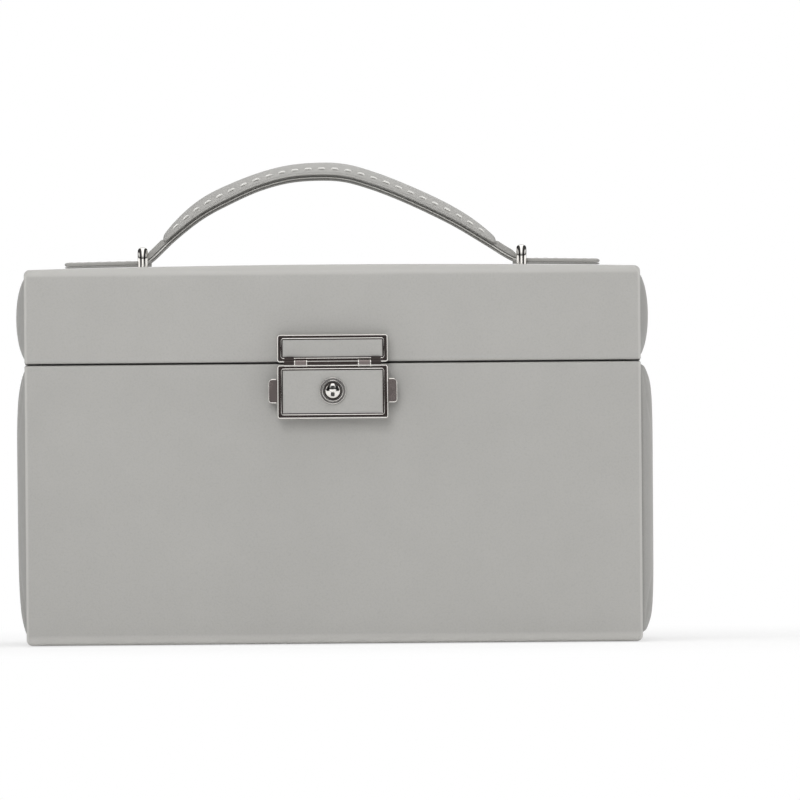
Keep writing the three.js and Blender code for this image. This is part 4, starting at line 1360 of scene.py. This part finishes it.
for node, ob in frame["nodes"].items():
    ob.data.materials.clear()
    ob.data.materials.append(finish_of(node))
    if ob.hide_render:
        continue
    ob.data.polygons.foreach_set("use_smooth", [True] * len(ob.data.polygons))
    if "spring" not in node:
        small = 0.5 if "pin" in node or "screw" in node else 1
        bevel_edges(ob, BEVEL.get(SLOTS[node], OTHER_BEVEL) * MM * small)

# ------------------------------------------------------------------ studio floor, in metres
FLOOR_Z = -0.0003
FLOOR_RADII = [0.2, 0.4, 0.8, 1.6, 3.2, 6.0]
FLOOR_SIDES = 48


def floor_material():
    """White floor; the camera sees it fade into pure white away from the case."""
    m = Mat("studio_white")
    m.finish(Base_Color=(0.90, 0.90, 0.90), Roughness=0.9, Specular_IOR_Level=0.05)
    glow = m.node("Emission", {"Color": (1, 1, 1)})
    distance = m.node("VectorMath", {0: m.coords}, operation="LENGTH").outputs["Value"]
    fade = m.remap(distance, to=(0.0, 1.0), source=(0.15, 0.55),
                   interpolation_type="SMOOTHSTEP")
    seen = m.node("LightPath").outputs["Is Camera Ray"]
    # painted light: near the case the camera still sees the glow at 0.6, which lightens the contact
    # shadow on the floor
    share = m.times(m.remap(fade, to=(0.6, 1.0)), seen)
    both = m.node("MixShader", {0: share, 1: m.shader.outputs[0], 2: glow.outputs[0]})
    m.feed(m.tree.nodes["Material Output"].inputs["Surface"], both.outputs[0])
    return m.material


def studio_floor():
    """Disc of rings round a centre point."""
    n = FLOOR_SIDES
    verts = [(0, 0, FLOOR_Z)]
    for r in FLOOR_RADII:
        angles = [2 * math.pi * k / n for k in range(n)]
        verts += [(r * math.cos(a), r * math.sin(a), FLOOR_Z) for a in angles]
    faces = [(0, 1 + k, 1 + (k + 1) % n) for k in range(n)]
    for i in range(len(FLOOR_RADII) - 1):
        for k in range(n):
            a, b = 1 + i * n + k, 1 + i * n + (k + 1) % n
            faces.append((a, a + n, b + n, b))
    mesh = bpy.data.meshes.new("floor")
    mesh.from_pydata(verts, [], faces)
    ob = bpy.data.objects.new("studio_floor", mesh)
    SCENE.collection.objects.link(ob)
    mesh.materials.append(floor_material())


studio_floor()

# ------------------------------------------------------------------ world
# brightness of the reflected surroundings: (ramp position, value)
BY_HEIGHT = [(0.0, 0.95), (0.08, 0.85), (0.12, 0.07), (0.21, 0.05), (0.27, 0.34), (0.45, 0.62),
             (0.6, 0.9), (1.0, 1.1)]
BY_SIDE = [(0.0, 1.0), (0.2, 1.0), (0.27, 0.04), (0.72, 0.04), (0.82, 0.9), (1.0, 1.0)]


def studio_world():
    """White for the camera, soft white for diffuse light, banded grey for reflections."""
    world = bpy.data.worlds.new("studio")
    SCENE.world = world
    world.use_nodes = True
    graph = Graph(world.node_tree)
    graph.tree.nodes.clear()

    def background(colour, strength):
        return graph.node("Background", {"Color": colour, "Strength": strength}).outputs[0]

    def greys(value, stops):
        return graph.ramp(value, [(at, (grey, grey, grey)) for at, grey in stops])

    axes = graph.node("SeparateXYZ", {0: graph.node("TexCoord").outputs["Generated"]}).outputs
    by_height = greys(axes["Z"], BY_HEIGHT)
    by_side = greys(graph.math("ABSOLUTE", axes["X"]), BY_SIDE)
    bands = graph.mix(by_height, by_side, share=1.0, mode="MULTIPLY")
    reflected = background(bands, strength=1.3)
    diffuse = background((1.0, 1.0, 1.0), strength=0.26)
    seen = background((1.0, 1.0, 1.0), strength=1.0)
    ray = graph.node("LightPath").outputs
    light = graph.node("MixShader", {0: ray["Is Diffuse Ray"], 1: reflected, 2: diffuse})
    total = graph.node("MixShader", {0: ray["Is Camera Ray"], 1: light.outputs[0], 2: seen})
    graph.node("OutputWorld", {"Surface": total.outputs[0]})


studio_world()

# ------------------------------------------------------------------ lights
# square area lights: name, location and height of the target over the origin in metres,
# size in metres, power in watts
LIGHTS = [
    ("front_soft", (-0.5, -2.2, 1.3), 0.08, 1.5, 25),
    ("top_soft", (0.1, -0.2, 1.9), 0.1, 1.8, 17),
    ("back_soft", (0.3, 2.2, 1.4), 0.08, 1.5, 12),
    ("right_soft", (2.0, -0.9, 0.9), 0.08, 1.2, 6),
    ("left_soft", (-2.1, -0.7, 0.8), 0.08, 1.2, 5),
    ("right_rim", (2.1, 0.15, 0.5), 0.08, 1.0, 9),
    ("left_rim", (-2.1, 0.15, 0.5), 0.08, 1.0, 5),
]
for name, location, target_z, size, power in LIGHTS:
    light = bpy.data.lights.new(name, "AREA")
    light.shape = "RECTANGLE"
    light.size = size
    light.size_y = size
    light.energy = power
    ob = bpy.data.objects.new(name, light)
    SCENE.collection.objects.link(ob)
    ob.location = location
    ob.visible_glossy = False
    aim = Vector((0, 0, target_z)) - Vector(location)
    ob.rotation_euler = aim.to_track_quat("-Z", "Y").to_euler()

# ------------------------------------------------------------------ camera, in metres
SENSOR = 36  # millimetres
CAMERA_DISTANCE = 12.0  # in front of the case's front face
VIEW_WIDTH = 0.292  # seen at that distance
CAMERA_X = 0.0245
EYE_Z, AIM_Z = 0.1368, 0.0887
CAMERA_ROLL = -0.47  # degrees

lens = bpy.data.cameras.new("camera")
camera = bpy.data.objects.new("camera", lens)
SCENE.collection.objects.link(camera)
SCENE.camera = camera
lens.sensor_width = SENSOR
lens.lens = SENSOR * CAMERA_DISTANCE / VIEW_WIDTH
lens.clip_start = 0.05
lens.clip_end = 30
eye = Vector((CAMERA_X, FRONT_Y * MM - CAMERA_DISTANCE, EYE_Z))
aim = Vector((CAMERA_X, FRONT_Y * MM, AIM_Z))
look = (aim - eye).to_track_quat("-Z", "Y").to_matrix().to_4x4()
roll = Matrix.Rotation(math.radians(CAMERA_ROLL), 4, "Z")
camera.matrix_world = Matrix.Translation(eye) @ look @ roll

SCENE.view_settings.view_transform = "Standard"
SCENE.view_settings.look = "None"
SCENE.view_settings.exposure = 0.0
